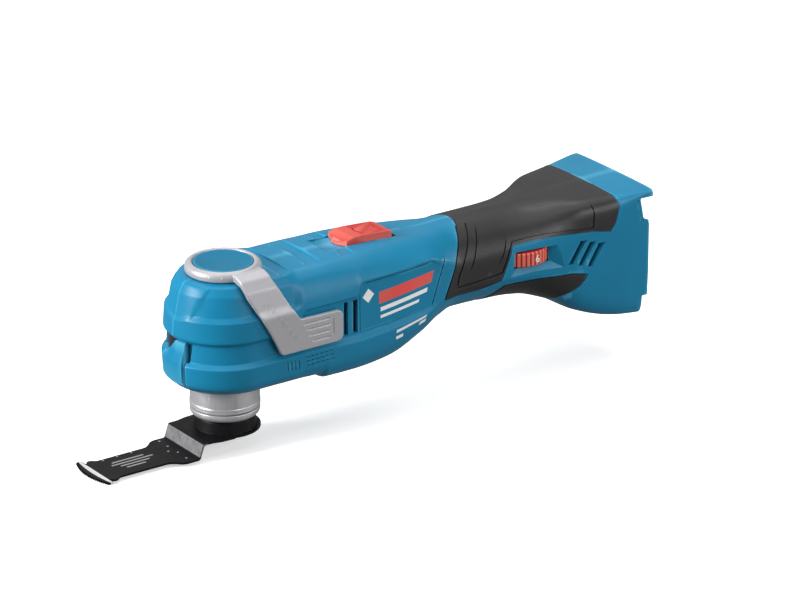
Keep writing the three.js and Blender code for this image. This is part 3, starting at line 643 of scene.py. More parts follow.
def rubber(name, base):
    """Soft-touch grip: matt, with a coarse grain, a dusty bloom and a painted highlight on its sharp edges.
    """
    n = Nodes(name)
    bloom = n.mix(n.remap(n.noise(60, 5), 0.3, 0.8, 0, 1), base, scaled(base, 1.15, 0.001))
    # Painted highlight: sharp edges of the grooves and rims are mixed towards a paler grey.
    n.drive("Base Color", n.mix(n.edges(0.52, 0.60), bloom, (0.04, 0.039, 0.04, 1)))
    n.rough(300, 3, 0.35, 0.42)
    n.bump(n.noise(1500, 2), 0.4, 0.00006)
    n.fix("Specular IOR Level", 0.5)
    return n.material


def metal(name, base, roughness, stretch=(1, 1, 1), scale=900, wear_and_highlight=(0.85, 0.85, 0.86, 1), metallic=0.9):
    """Metal with fine machining or casting marks; its sharp edges are painted brighter, partly as rubbed
    wear and partly as a painted highlight.
    """
    n = Nodes(name)
    marks = n.noise(scale, 3, stretch, 0.6)
    marked = n.mix(n.remap(marks, 0.3, 0.7, 0, 1), scaled(base, 0.88), base)
    # Sharp edges painted brighter: partly rubbed wear, partly a painted highlight along the rims.
    n.drive("Base Color", n.mix(n.edges(0.53, 0.62), marked, wear_and_highlight))
    n.rough(120, 4, roughness - 0.06, roughness + 0.1)
    n.fix("Metallic", metallic)
    n.bump(marks, 0.3, 0.00002)
    return n.material


def clear_plastic(name):
    """Smoked lens of the work light."""
    n = Nodes(name)
    n.drive("Base Color", n.mix(n.noise(200, 3), (0.004, 0.006, 0.01, 1), (0.012, 0.016, 0.024, 1)))
    n.rough(300, 3, 0.08, 0.2)
    n.fix("IOR", 1.5)
    n.bump(n.noise(500, 2), 0.2, 0.00005)
    return n.material


def coated_blade(name):
    """Black oxide steel; the bend between the two plates is ground bright."""
    n = Nodes(name)
    split = n.add("ShaderNodeSeparateXYZ")
    n.link(n.coords, split.inputs["Vector"])
    above = n.remap(split.outputs["Z"], 1.9 * MM, 2.1 * MM, 0, 1)
    below = n.remap(split.outputs["Z"], 8.6 * MM, 8.8 * MM, 1, 0)
    ahead = n.remap(split.outputs["X"], AXIS_X - 22.4 * MM, AXIS_X - 22.2 * MM, 1, 0)
    face = n.times(n.times(above, below), ahead)
    grain = n.noise(900, 3, (1, 1, 0.04))
    ground = n.mix(grain, (0.16, 0.16, 0.17, 1), (0.36, 0.36, 0.37, 1))
    oxide = n.mix(n.noise(400, 4), (0.004, 0.004, 0.005, 1), (0.012, 0.012, 0.013, 1))
    n.drive("Base Color", n.mix(face, oxide, ground))
    n.rough(260, 3, 0.34, 0.46)
    n.drive("Metallic", n.times(face, 0.7))
    n.bump(n.noise(1800, 2), 0.25, 0.00003)
    n.fix("Specular IOR Level", 0.12)
    return n.material


def board_green(name):
    """Circuit board lacquer with paler tracks."""
    n = Nodes(name)
    cells = n.add("ShaderNodeTexVoronoi", feature="DISTANCE_TO_EDGE")
    cells.inputs["Scale"].default_value = 420
    n.link(n.coords, cells.inputs["Vector"])
    tracks = n.remap(cells.outputs["Distance"], 0.02, 0.05, 1, 0)
    n.drive("Base Color", n.mix(tracks, (0.008, 0.06, 0.03, 1), (0.02, 0.14, 0.07, 1)))
    n.rough(200, 3, 0.35, 0.5)
    n.bump(tracks, 0.3, 0.00005)
    return n.material


BLUE = plastic("housing_blue", (0.0065, 0.215, 0.39, 1), (0.07, 0.38, 0.58, 1), 0.33, 0.3, 0.04)
CAP_BLUE = plastic("cap_blue", (0.0045, 0.16, 0.29, 1), (0.04, 0.3, 0.5, 1), 0.34, 0.16, 0.04)
RED = plastic("switch_red", (0.53, 0.034, 0.028, 1), (0.85, 0.2, 0.15, 1), 0.36, specular=0.2)
BLACK = plastic("inner_black", (0.012, 0.012, 0.014, 1), (0.05, 0.05, 0.055, 1), 0.5)
PRINT = plastic("print_white", (0.95, 0.95, 0.95, 1), (0.97, 0.97, 0.97, 1), 0.45, specular=0.2)
FAINT = plastic("print_grey", (0.22, 0.22, 0.225, 1), (0.3, 0.3, 0.3, 1), 0.5, specular=0.2)
PRINT_RED = plastic("print_red", (0.88, 0.10, 0.09, 1), (0.7, 0.15, 0.12, 1), 0.45, specular=0.2)
GRIP = rubber("grip_rubber", (0.0135, 0.0133, 0.0145, 1))
SILVER = metal("lever_silver", (0.49, 0.49, 0.515, 1), 0.4, (1, 1, 1), 2200, (0.85, 0.85, 0.87, 1), 0.3)
COLLAR = metal("collar_silver", (0.64, 0.64, 0.665, 1), 0.34, (1, 1, 0.05), 900, metallic=0.6)
STEEL = metal("ground_steel", (0.42, 0.42, 0.43, 1), 0.3, (1, 1, 8), 800)
ALLOY = metal("cast_alloy", (0.35, 0.35, 0.36, 1), 0.5, scale=1500)
DARK_STEEL = metal("screw_black", (0.03, 0.03, 0.033, 1), 0.4, scale=1500, wear_and_highlight=(0.2, 0.2, 0.2, 1))
RAIL = metal("rail_steel", (0.4, 0.4, 0.41, 1), 0.35, (10, 1, 1), 600)
BRASS = metal("brass", (0.62, 0.42, 0.14, 1), 0.32, scale=1200, wear_and_highlight=(0.9, 0.75, 0.45, 1))
MAGNET = metal("magnet_steel", (0.2, 0.2, 0.21, 1), 0.45, (30, 1, 1), 600)
LENS = clear_plastic("led_clear")
COATED = coated_blade("blade_black")
BOARD = board_green("board")


# ---- housing
WELL_R = 3.7                           # well round a screw head
PILOT_R = 1.9                          # hole for a screw
# Places of the housing screws as (x, z).
SCREWS = [(33.5, 91), (34.5, 41), (121, 49.5), (146, 86.5), (206, 88), (232, 36)]
SLOT = {"x0": 60.4, "open": 75.2, "x1": 107.8, "half": 9.4, "floor": 97.9}
DIAL = {"x": 187.6, "y": -11.3, "r": 18, "z0": 67.6, "z1": 75.6}
DIAL_FACE = math.radians(275)          # direction the numeral looks
FRONT_VENTS = [(57, 59.6), (63, 66)]
REAR_VENTS = [(217, 76.5), (222.7, 74.9), (228.5, 73.3)]   # top corner of each slit
LABEL_RAISE = 0.3
DASH_RAISE = 0.26
# Lengths of the generic strokes embossed along the lever, and how far they stand out.
DASHES = [3.2, 1.8, 3.0, 2.4, 0.9, 3.2, 1.4, 2.8, 3.2, 0.9, 2.2, 3.2, 1.6, 3.0, 2.6]
LABEL = [(67.6, 84.6), (127.0, 85.4), (117.2, 59.8), (68, 57.6)]
MARKS = {   # generic bars printed on the label panel, as (x, z) outlines
    "red": [[(80.5, 77.5), (119.0, 80.5), (117.2, 74.0), (80.5, 70.5)]],
    "white": [
        [(81.5, 68.3), (114.6, 71.6), (114.0, 69.2), (81.5, 65.9)],
        [(81.5, 63.6), (108.5, 66.3), (108.0, 64.6), (81.5, 61.9)],
        [(69.4, 76.8), (73.3, 81.2), (77.2, 77.4), (73.3, 73.0)],
    ],
}
LOW_MARKS = [   # bars on the skirt below the label
    [(91.5, 48.9), (96.4, 49.5), (96.4, 47.6), (91.5, 47.0)],
    [(108.6, 52.8), (113.6, 53.8), (113.0, 51.9), (108.0, 50.9)],
    [(91.5, 52.8), (113.8, 56.0), (113.0, 54.6), (91.5, 51.0)],
]
INK = 0.06                             # half the thickness of printed marks
RIBS = [(21.5, 0.0, 29.0, 98.15), (42.9, 2.4, 50.7, 98.25), (67.9, 4.4, 72.6, 98.1)]


def form(name, offset=0.0, rails=ALL_RAILS, end=ROOF_X):
    """The body's outer form moved inwards, or stretched past the roof edge for cutters."""
    verts, faces = body_form(offset, rails)
    if end > ROOF_X:
        verts[verts[:, 0] > ROOF_X - 1e-6, 0] = end
    return solid(name, verts, faces)


def bar_y(name, x, z, radius, y0, y1, sides=40):
    """Round bar across the tool."""
    return side_prism(name, circle(x, z, radius, sides), y0, y1)


def disc_z(name, x, y, radius, z0, z1, sides=96):
    """Upright round bar."""
    return plan_prism(name, circle(x, y, radius, sides), z0, z1)


def grip_outline(outline, grow=0.0):
    """Side outline of a grip with rounded corners, widened for its pocket."""
    return filleted(grown(outline, grow) if grow else outline, 2.2, 4)


def vent_cutters():
    """Front slots and slanted rear slits with a wider mouth, on both sides."""
    cuts = []
    for side in (-1, 1):
        for x0, x1 in FRONT_VENTS:
            cuts.append(box("cut", x0, x1, side * 26, side * 40, 57.5, 77))
        for x, z in REAR_VENTS:
            slit = [(x, z), (x + 2.9, z), (x - 4.7, z - 13), (x - 7.6, z - 13)]
            mouth = [(x - 0.2, z + 0.2), (x + 4.4, z + 0.2), (x - 3.4, z - 13.4), (x - 7.8, z - 13.4)]
            deep = half_width(x, z - 7) - 1.6
            cuts.append(side_prism("cut", slit, side * 24, side * REACH))
            cuts.append(loft("cut", [
                [(u, side * deep, v) for u, v in slit],
                [(u, side * (deep + 2.6), v) for u, v in mouth]]))
    return cuts


def polar(degrees, radius):
    """Plan position on the head; 0 degrees is the very front, positive to the left."""
    a = math.radians(degrees)
    return (-radius * math.cos(a), -radius * math.sin(a))


def sector(corners, z0, z1):
    """Prism over plan corners given as (degrees, radius) on the head."""
    return plan_prism("sector", [polar(*corner) for corner in corners], z0, z1)


def nose_cutters():
    """Opening for the lamp nose, with a deep side step above the skirt ledge."""
    opening = sector([(-21, 40), (-21, 26), (18.5, 26), (18.5, 40)], 41.2, 66.9)
    step = loft("cut", [
        [(*polar(*corner), z) for corner in ((18, 29.6), (24.5 - k, 29.4), (24.5 - k, 36), (17, 36))]
        for z, k in ((55.2, 3), (66.6, 0))])
    window = turned("cut", [(27.6, 56.2), (45, 53.8), (45, 66.9), (27.6, 66.9)], 144)
    within(window, sector([(-40, 60), (-40, 20), (-18, 20), (-18, 60)], 50, 70))
    return [opening, step, window]


def surface_grooves():
    """Panel edges and engraved lines cut shallowly into the shells."""
    fine = []
    for k in range(4):
        x = 18.8 + k * 2.5
        fine.append(ribbon([(x, 52.2 - k * 0.4), (x + 0.4, 46.6 - k * 0.3)], 0.75, 1.0))
    for row in range(3):
        for k in range(6):
            x = 30.5 + row * 0.4 + k * 3.1
            z = 52.0 - row * 2.5 + k * 0.05
            fine.append(ribbon([(x, z), (x + 2.3, z)], 0.8, 0.5))
    grip_edges = [grip_outline(GRIP_TOP, 0.8), grip_outline(GRIP_LOW, 0.8)]
    label_end = ribbon([(127.9, 85.6), (117.7, 59.4)], 0.8)
    roof_step = [(253.6, 93.9), (256.4, 81.0), (260.4, 78.6), (266, 78.6), (266, 93.9)]
    cuts = []
    for side in (-1, 1):
        cuts.append(skin_deep(grip_edges, 0.4, side))
        cuts.append(skin_deep([label_end], 0.6, side))
        cuts.append(skin_deep(fine, 0.3, side))
        cuts.append(skin_deep([roof_step], 0.45, side))
    return cuts


def dial_pocket():
    """Bevelled window round the speed dial, with one long sloping sill."""
    deep = half_width(DIAL["x"], 71) - 1.4
    inner = [(177.4, 76.4), (198.6, 76.2), (199.4, 67.2), (178.2, 67.2)]
    outer = [(176.8, 77.0), (203.5, 76.8), (207.5, 62.4), (172.7, 61.9)]
    return loft("cut", [
        [(x, (0.6 if x < 187 else -0.5) - deep, z) for x, z in inner],
        [(x, -half_width(x, z) - 0.3, z) for x, z in outer]])


def rib_cutters():
    """Recessed bands across the roof of the barrel, with slanted front walls."""
    bands = []
    for front, slant, rear, floor in RIBS:
        outline = [(front, 0), (front - slant, -24), (rear - 0.4, -24), (rear, 0), (rear - 0.4, 24),
                   (front - slant, 24)]
        bands.append(loft("cut", [
            [(x + lean if x > front else x, y, z) for x, y in outline]
            for lean, z in ((0.0, floor), (4.8, 104))]))
    return bands


def screw_bosses(skin):
    """Screw posts of both shells, trimmed to the body."""
    bosses = []
    for x, z in SCREWS:
        for radius, y0, y1 in ((4.8, 0, 34), (3.6, -34, 0.01)):
            bosses.append(within(bar_y("boss", x, z, radius, y0, y1), copy_of(skin)))
    return bosses


def screw_cutters():
    """Head wells and pilot holes of the housing screws."""
    cuts = []
    for x, z in SCREWS:
        cuts.append(bar_y("cut", x, z, WELL_R, 11, REACH))
        cuts.append(bar_y("cut", x, z, PILOT_R, -14, 15))
    return cuts


def slider_cutters():
    """Slot of the slide switch and the shallow scoop round it."""
    half = SLOT["half"]
    slot = filleted(rectangle(SLOT["open"], SLOT["x1"], -half, half), 1.2, 4)
    scoop = [[(x, y, z) for x, y in rectangle(SLOT["x0"] + k, SLOT["x1"], -half, half)]
             for k, z in ((3.0, SLOT["floor"]), (0.0, 99), (-3.0, 101))]
    return [plan_prism("cut", slot, 92, 110), loft("cut", scoop)]


def rear_cutters():
    """Open rear below the roof edge, with the way in for the pack's rails."""
    rear = ROOF_X + 2
    notch = [(CHANNEL_X, ROOF_Z), (258.3, 82.5), (261, 80.5), (rear, 80.5), (rear, ROOF_Z)]
    return [
        box("cut", TAIL_X, rear, -REACH, REACH, 15, ROOF_Z),
        side_prism("cut", notch, -REACH, 0),
        box("cut", CHANNEL_X, rear, -31, REACH, 80.5, ROOF_Z),
        box("cut", CHANNEL_X, rear, -31, REACH, 15, 35),
        box("cut", 258.5, rear, -REACH, 0, 15, 35),
    ]


def grip_pockets(skin):
    """Recesses for the two grips."""
    return [combine(side_prism("pocket", grip_outline(outline, GAP)), [copy_of(skin)])
            for outline in (GRIP_TOP, GRIP_LOW)]


def hollows():
    """The room inside the shells, narrower where the grips take up part of the wall."""
    front = form("hollow", WALL, CORE_RAILS, ROOF_X + 1)
    behind = form("thin", WALL + RUBBER, CORE_RAILS, ROOF_X + 1)
    bay = box("bay", *GRIP_BAY, -REACH, REACH, 20, 110)
    combine(front, [copy_of(bay)])
    return [front, within(behind, bay)]


def shell():
    """Both housing shells, made as one and then parted."""
    outer = form("right_shell")
    skin = form("skin", RUBBER + GAP)
    panel = side_prism("panel", filleted(LABEL, 1.0, 3))
    combine(outer, [within(panel, form("raised", -LABEL_RAISE))], "UNION")
    combine(outer, hollows())
    combine(outer, screw_bosses(skin), "UNION")
    cuts = grip_pockets(skin) + screw_cutters()
    discard(skin)
    cuts.append(disc_z("cut", 0, 0, 15, 90, 110))
    cuts.append(disc_z("cut", 0, 0, NECK_R + GAP, 20, 42))
    cuts += slider_cutters()
    cuts.append(disc_z("cut", DIAL["x"], DIAL["y"], DIAL["r"] + 0.6, DIAL["z0"] - 0.6, DIAL["z1"] + 0.6))
    cuts += rear_cutters() + nose_cutters() + vent_cutters() + rib_cutters()
    cuts.append(dial_pocket())
    cuts += surface_grooves()
    combine(outer, cuts)
    left = within(copy_of(outer, "left_shell"), one_side(-1))
    right = within(outer, one_side(1))
    place(left, "housing", BLUE, 24, ["left_housing"])
    place(right, "housing", BLUE, 24, ["right_housing"])


def printed(name, outlines, material, depth):
    """Thin printed marks lying on the housing surface of both sides."""
    ink = combine(form(name, depth - INK), [form("under", depth + INK)])
    within(ink, joined([side_prism("keep", outline) for outline in outlines]))
    place(ink, "housing", material, 30)


def label_marks():
    """All printed marks of the housing."""
    printed("label_bar_red", MARKS["red"], PRINT_RED, -LABEL_RAISE)
    printed("label_bars_white", MARKS["white"], PRINT, -LABEL_RAISE)
    printed("skirt_bars_white", LOW_MARKS, PRINT, 0.0)


# ---- rubber grips
def rubber_grooves(side):
    """The raised grip pad's border line and the broken line inside it."""
    border = [(154.0, 95.6), (151.1, 93.0), (147.1, 87.1), (142.6, 80.3), (138.2, 71.9), (136.9, 64.9),
              (151.6, 65.3), (167.6, 67.0), (172.3, 78.4), (175.2, 83.4), (187, 83.9), (202, 84.3),
              (224.6, 83.5), (224.8, 86), (225.6, 93), (225.2, 96.6)]
    inner = [[(157.6, 93.6), (154.9, 89.8), (150.7, 82.6), (145.4, 72.0)],
             [(211.6, 91.2), (210.3, 88.6), (207.4, 87.9), (195.8, 87.1), (180.1, 86.5), (175.0, 86.3)],
             [(172.6, 85.8), (167.8, 76.5), (164.6, 72.0)]]
    lines = [ribbon(filleted_line(border, 1.5), 1.15, 5)]
    lines += [ribbon(filleted_line(line, 1.2), 0.9, 6) for line in inner]
    return skin_deep(lines, 0.45, side)


def filleted_line(points, radius):
    """Open polyline with rounded bends."""
    return filleted(points, [0] + [radius] * (len(points) - 2) + [0], 4)


def grips():
    """Both grip mouldings in their left and right halves."""
    for name, outline in (("grip_top", GRIP_TOP), ("grip_low", GRIP_LOW)):
        skin = combine(form(name, -0.3), [form("back", RUBBER)])
        within(skin, side_prism("keep", grip_outline(outline)))
        cuts = [bar_y("cut", x, z, WELL_R, 10, REACH) for x, z in SCREWS]
        if outline is GRIP_TOP:
            cuts += [rubber_grooves(-1), rubber_grooves(1)]
        combine(skin, cuts)
        for side, word in ((-1, "left"), (1, "right")):
            half = within(copy_of(skin, f"{name}_{word}_rubber"), one_side(side))
            place(half, "housing", GRIP, 28, [f"{name}_{word}"])
        discard(skin)


# ---- head parts
def nose():
    """Nose under the brow: a slanted top uncovers the dark lamp window on its far side."""
    body = turned("nose_shield", [
        (26.4, 41.6), (33.0, 41.9), (34.0, 44), (34.6, 52.6), (34.2, 55.4), (33.2, 60), (32.4, 66.4),
        (26.4, 66.6)], 144)
    within(body, sector([(-20, 40), (-20, 26.6), (17, 26.6), (17, 40)], 41.5, 70))
    combine(body, [loft("cut", [
        [(*polar(4.5, radius), 66.4 + rise), (*polar(-21, radius), 52.8 + rise), (*polar(-21, radius), 70),
         (*polar(4.5, radius), 70)] for radius, rise in ((40, 1.0), (26, 0.0))])])
    combine(body, [sector([(14.6, 40), (14.6, 34.0), (18, 31.6), (18, 40)], 41, 70)])
    window = turned("lamp_window", [(27.0, 53.6), (30.2, 53.6), (30.4, 60), (30.0, 66.3), (27.0, 66.6)], 144)
    within(window, sector([(-39.4, 60), (-39.4, 22), (3.4, 26), (3.4, 40)], 50, 70))
    combine(window, [copy_of(body)])
    place(body, "housing", BLUE, 24, ["nose_cap"])
    place(window, "housing", LENS, 40, ["led_lens"])


def rounded_by_remesh(obj, voxel, smooth):
    """Melts a sharp boolean result into a cast shape with small even radii."""
    melt = obj.modifiers.new("melt", "REMESH")
    melt.mode = "VOXEL"
    melt.voxel_size = voxel
    melt.adaptivity = 0.0
    soften = obj.modifiers.new("soften", "SMOOTH")
    soften.iterations = smooth
    soften.factor = 0.5
    return apply_modifiers(obj)


def lever_form():
    """Ring and arm of the clamp lever as one cast piece."""
    ring = turned("lever_body", [
        (8.2, 91.8), (13.8, 91.8), (13.8, 99.2), (20.4, 99.2), (21, 99.8), (21, 101.6), (20.7, 102.8),
        (20.0, 103.8), (19.1, 104.4), (18.2, 104.7), (17.4, 104.65), (16.9, 104.3), (16.8, 103.2),
        (8.2, 103.2)])
    section = filleted(
        [(-17.0, 99.4), (-21.5, 99.4), (-25.6, 98.4), (-28.6, 94.8), (-31.2, 84.4), (-33, 81.2),
         (-33.2, 57.2), (-35.8, 57.2), (-35.8, 80.8), (-34, 85), (-31.2, 96.4), (-27, 101.4),
         (-21.8, 103.6), (-17.0, 103.6)],
        [0, 2, 3, 4, 8, 5, 0, 0, 7, 10, 6, 4, 3, 0], 5)
    arm = loft("arm", [[(x, y, z) for y, z in section] for x in (-20, 60)])
    outline = filleted(
        [(-6.5, 105), (-6.2, 99), (-4.6, 93), (2, 81), (8, 70), (14.2, 57.4), (54, 57.4),
         (54, 75.2), (26.6, 75.6), (21, 84), (15, 95), (12.8, 100), (12.4, 105)],
        [0, 3, 5, 8, 8, 2.6, 4.2, 4.2, 2.4, 8, 6, 3, 0], 6)
    within(arm, side_prism("keep", outline, -REACH, -10))
    combine(ring, [arm], "UNION")
    return rounded_by_remesh(ring, 0.34, 9)


def pad_grooves():
    """Finger grooves of the lever's pad and the upright line behind them."""
    lines = [((26.5 + k * 2.0, -36.15, 72.2 - k * 3.6), (46.6, -36.15, 72.2 - k * 3.6)) for k in range(4)]
    cuts = [tube("cut", densely(line, 1.0), 0.95, 12, fade=3) for line in lines]
    cuts.append(tube("cut", densely([(47.4, -36.1, 73), (47.4, -36.1, 60.6)], 1.0), 0.7, 12, fade=3))
    return cuts


def lever_strokes():
    """Prisms of the embossed strokes, set across the arm one after another."""
    along = (0.609, -0.793)
    across = (0.793, 0.609)
    strokes = []
    for k, length in enumerate(DASHES):
        lean = 0.25 * (-1) ** k
        ends = []
        for a in (-0.5 * length, 0.5 * length):
            t = 1.5 + 2.15 * k + lean * a
            ends.append((5.0 + along[0] * t + across[0] * a, 90.0 + along[1] * t + across[1] * a))
        strokes.append(side_prism("keep", ribbon(ends, 0.7, 0.4), -REACH, -20))
    return joined(strokes)


def lever():
    """Clamp lever with its embossed strokes and blue cap."""
    ring = combine(lever_form(), pad_grooves())
    raised = copy_of(ring, "lever_dashes")
    raised.data.transform(Matrix.Translation((0, -DASH_RAISE, 0)))
    within(raised, lever_strokes())
    place(ring, "lever", SILVER, 35, ["lever"])
    place(raised, "lever", SILVER, 35)
    cap = turned("lever_disc", [
        (0, 103.4), (16.3, 103.4), (16.3, 103.9), (16.1, 104.3), (15.5, 104.5), (14.4, 104.35),
        (11, 103.95), (6, 103.75), (0, 103.7)])
    place(cap, "lever", CAP_BLUE, 40, ["lever_cap"])


def collar():
    """Cast gearbox housing with the silver collar, and the tool holder under it."""
    body = turned("neck_collar", [
        (13.3, 21.6), (19.1, 21.6), (19.4, 21.9), (19.4, 24.2), (19.15, 24.6), (19.15, 39.4), (24, 39.4),
        (27, 43.3), (27, 50), (22.4, 53), (22, 88), (18, 88), (18, 34.6), (11.2, 34.6), (11.2, 31.4),
        (13.3, 31.4)])
    combine(body, [box("cut", 6, 40, -14, 14, 54, 76)])
    combine(body, [disc_z("cut", 0, side * 20, 1.5, 82, 95, 24) for side in (-1, 1)])
    place(body, "housing", COLLAR, 30, ["gearbox_housing"])
    holder = turned("holder_ring", [
        (9.2, 16.7), (17.6, 16.7), (18.3, 17.0), (18.9, 17.7), (19.25, 18.6), (19.3, 19.2), (19.3, 20.2),
        (19.1, 20.7), (18.7, 20.9), (9.2, 20.9)])
    place(holder, "spindle", COLLAR, 30, ["tool_holder"])


def spindle():
    """Hollow output spindle with its bores, step and hook slots."""
    body = turned("spindle_tube", [
        (6.3, 17.2), (8.4, 17.2), (8.4, 21.6), (8.9, 21.6), (8.9, 31.6), (10.6, 31.6), (10.6, 34), (8.9, 34),
        (8.9, 87.3), (4.6, 87.3), (4.6, 63), (6.3, 63), (6.3, 35), (3.4, 35), (3.4, 32.4), (6.3, 32.4)], 72)
    for x in (-3.4, 3.4):
        combine(body, [bar_y("cut", x, 25, 1.2, -12, 12, 24)])
    place(body, "spindle", STEEL, 30, ["output_spindle"])


def plunger():
    """Release plunger and the clamp spring that it squashes as it goes down, built here as one fixed coil.
    """
    rod = turned("plunger_rod", [
        (0, 31.8), (2.4, 31.8), (2.9, 32.4), (2.9, 60.5), (5.3, 60.5), (5.5, 60.7), (5.5, 62.3), (5.3, 62.5),
        (2.9, 62.5), (2.9, 92.9), (6.1, 92.9), (6.4, 93.2), (6.4, 97.1), (6.0, 97.5), (0, 97.5)], 72)
    place(rod, "plunger", STEEL, 30, ["release_plunger"])
    turns = np.linspace(0, 5.5, 155)
    coil = tube("spring_coil", [
        (4.6 * math.cos(a), 4.6 * math.sin(a), z)
        for a, z in zip(turns * 2 * math.pi, 36.2 + turns * 4.1)], 0.65, 12)
    place(coil, "spindle", STEEL, 40, ["clamp_spring"])
    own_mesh(coil)


MOUNT_Z = 8.0                          # underside of the blade's mounting plate
BLADE_T = 1.2                          # blade thickness
EDGE_HALF = 16.7                       # half the length of the cutting edge


def blade_body():
    """Cranked blade cut to its outline, with the cupped mounting flange."""
    strip = filleted([
        (-90, 0), (-27.6, 0), (-24.8, MOUNT_Z), (-6, MOUNT_Z), (-6, MOUNT_Z + BLADE_T),
        (-25.6, MOUNT_Z + BLADE_T), (-28.4, BLADE_T), (-90, BLADE_T)],
        [0, 2.0, 2.0, 0, 0, 1.2, 1.2, 0], 4)
    half = [(-6, 19.4), (-14, 19.0), (-20, 17.6), (-36, 17.6), (-38.6, 16.6), (-40.6, 14.4), (-43.6, 12.3),
            (-46, 12), (-75, 12), (-78, 14.2), (-80.2, 14.2), (-82, 11.4), (-82.3, 16.4)]
    radii = [0, 2, 4, 2, 2, 3, 3, 2, 3, 1.2, 1.2, 0.6, 0]
    outline = filleted(half + [(x, -y) for x, y in reversed(half)], radii + radii[::-1], 4)
    body = within(side_prism("saw_blade", strip, -25, 25), plan_prism("keep", outline, -1, 20))
    flange = turned("flange", [(8.6, 8), (19.4, 8), (19.4, 9.2), (8.6, 9.2)])
    cup = turned("cup", [
        (8.6, 15.1), (14.9, 15.1), (15.5, 14.2), (16.4, 9.6), (16.4, 8.4), (17.8, 8.6), (17.4, 10),
        (16.4, 14.9), (15.6, 16.1), (14.9, 16.4), (8.6, 16.4)])
    combine(body, [flange], "UNION")
    combine(body, [disc_z("cut", 0, 0, 16.6, 7, 20)])
    return combine(body, [cup], "UNION")


def blade_marks():
    """Printed dots and bars on the blade."""
    dots = [(-33.4, 14.6), (-33.2, 6.4), (-36.6, 0.6), (-33, -3.4), (-33.4, -12.6), (-54, 10.6), (-63, 10.6),
            (-72, 10.6)]
    bars = [(-70, -50, 4.6), (-72, -46, 1.6), (-68, -50, -1.4), (-66, -54, -4.4)]
    marks = [disc_z("blade_marks", x, y, 0.62, 1.1, 1.26, 20) for x, y in dots]
    marks += [box("mark", x0, x1, y - 0.55, y + 0.55, 1.1, 1.24) for x0, x1, y in bars]
    return joined(marks)


def blade():
    """Blade, its marks, the bright band and the toothed edge."""
    place(blade_body(), "spindle", COATED, 20, ["blade"])
    place(blade_marks(), "spindle", FAINT, 30)
    half = EDGE_HALF
    steps = 46
    tooth_depth = 1.3
    teeth = []
    for i in range(steps + 1):
        y = -half + 2 * half * i / steps
        bow = -89 + 3.6 * (y / half) ** 2
        teeth.append((bow + (0.0 if i % 2 else tooth_depth), y))
    bow_line = [(-85.6 + 1.7 * (y / half) ** 2, y) for y in np.linspace(-half, half, 15)]
    band = plan_prism("edge_band", [(-82.6, half), (-82.6, -half)] + bow_line, 0.05, 1.15)
    place(band, "spindle", COLLAR, 30, ["cutting_edge"])
    edge = plan_prism("toothed_edge", bow_line[::-1] + teeth, 0.0, BLADE_T)
    place(edge, "spindle", COATED, 30, ["cutting_edge"])


# ---- controls
def softened(obj, width, segments=2, degrees=40):
    """Rounds every edge of a piece that is sharper than an angle."""
    bevel = obj.modifiers.new("edges", "BEVEL")
    bevel.width = width
    bevel.segments = segments
    bevel.limit_method = "ANGLE"
    bevel.angle_limit = math.radians(degrees)
    return apply_modifiers(obj)


def slider():
    """Switch button with its two chevrons, on a dust skirt inside the housing."""
    profile = filleted(
        [(71, 93), (71, 99.9), (73.4, 101.0), (79.4, 102.4), (84.5, 102.4), (102, 101.2), (105.4, 100.2),
         (106.8, 98), (106.8, 93)],
        [0, 0.6, 2, 1.2, 1.5, 3, 1.5, 1, 0], 4)
    arc = [(103.6 + 3.2 * math.cos(a), 9 * math.sin(a)) for a in np.linspace(-math.pi / 2, math.pi / 2, 13)]
    plan = filleted([(71.6, 4), (71.6, -4), (74.6, -9)], [1, 1, 0], 3) + arc + [(74.6, 9)]
    cap = within(side_prism("slider_cap", profile, -9, 9), plan_prism("keep", plan, 90, 104))
    softened(cap, 0.5, 2, 50)
    combine(cap, [box("cut", 60, 83.0, -12, 12, 90, 98.3)])
    skirt = box("slider_skirt", 57, 111.6, -11, 11, 94.0, 95.6)
    combine(skirt, [box("cut", 71.4, 106.4, -8.6, 8.6, 90, 99)])
    place(skirt, "slider", BLACK, 30)
    for x, z in ((85.6, 102.4), (99.0, 101.6)):
        chevron = [(x + 2.2, -6.6, z), (x, 0, z), (x + 2.2, 6.6, z)]
        combine(cap, [tube("cut", densely(filleted_line(chevron, 1), 1.0), 0.55, 10, fade=3)])
    place(cap, "slider", RED, 30, ["slider_button"])


def numeral_plate(name, figure, height, thickness):
    """Raised figure lying in the XY plane, centred left to right."""
    curve = bpy.data.curves.new(name, "FONT")
    curve.body = figure
    curve.size = height
    curve.extrude = thickness
    curve.align_x = "CENTER"
    text = add_object(name, curve)
    bpy.context.view_layer.update()
    mesh = bpy.data.meshes.new_from_object(text.evaluated_get(bpy.context.evaluated_depsgraph_get()))
    plate = solid(name, [v.co for v in mesh.vertices], [tuple(f.vertices) for f in mesh.polygons])
    bpy.data.meshes.remove(mesh)
    bpy.data.objects.remove(text)
    bpy.data.curves.remove(curve)
    plate.name = name
    return plate


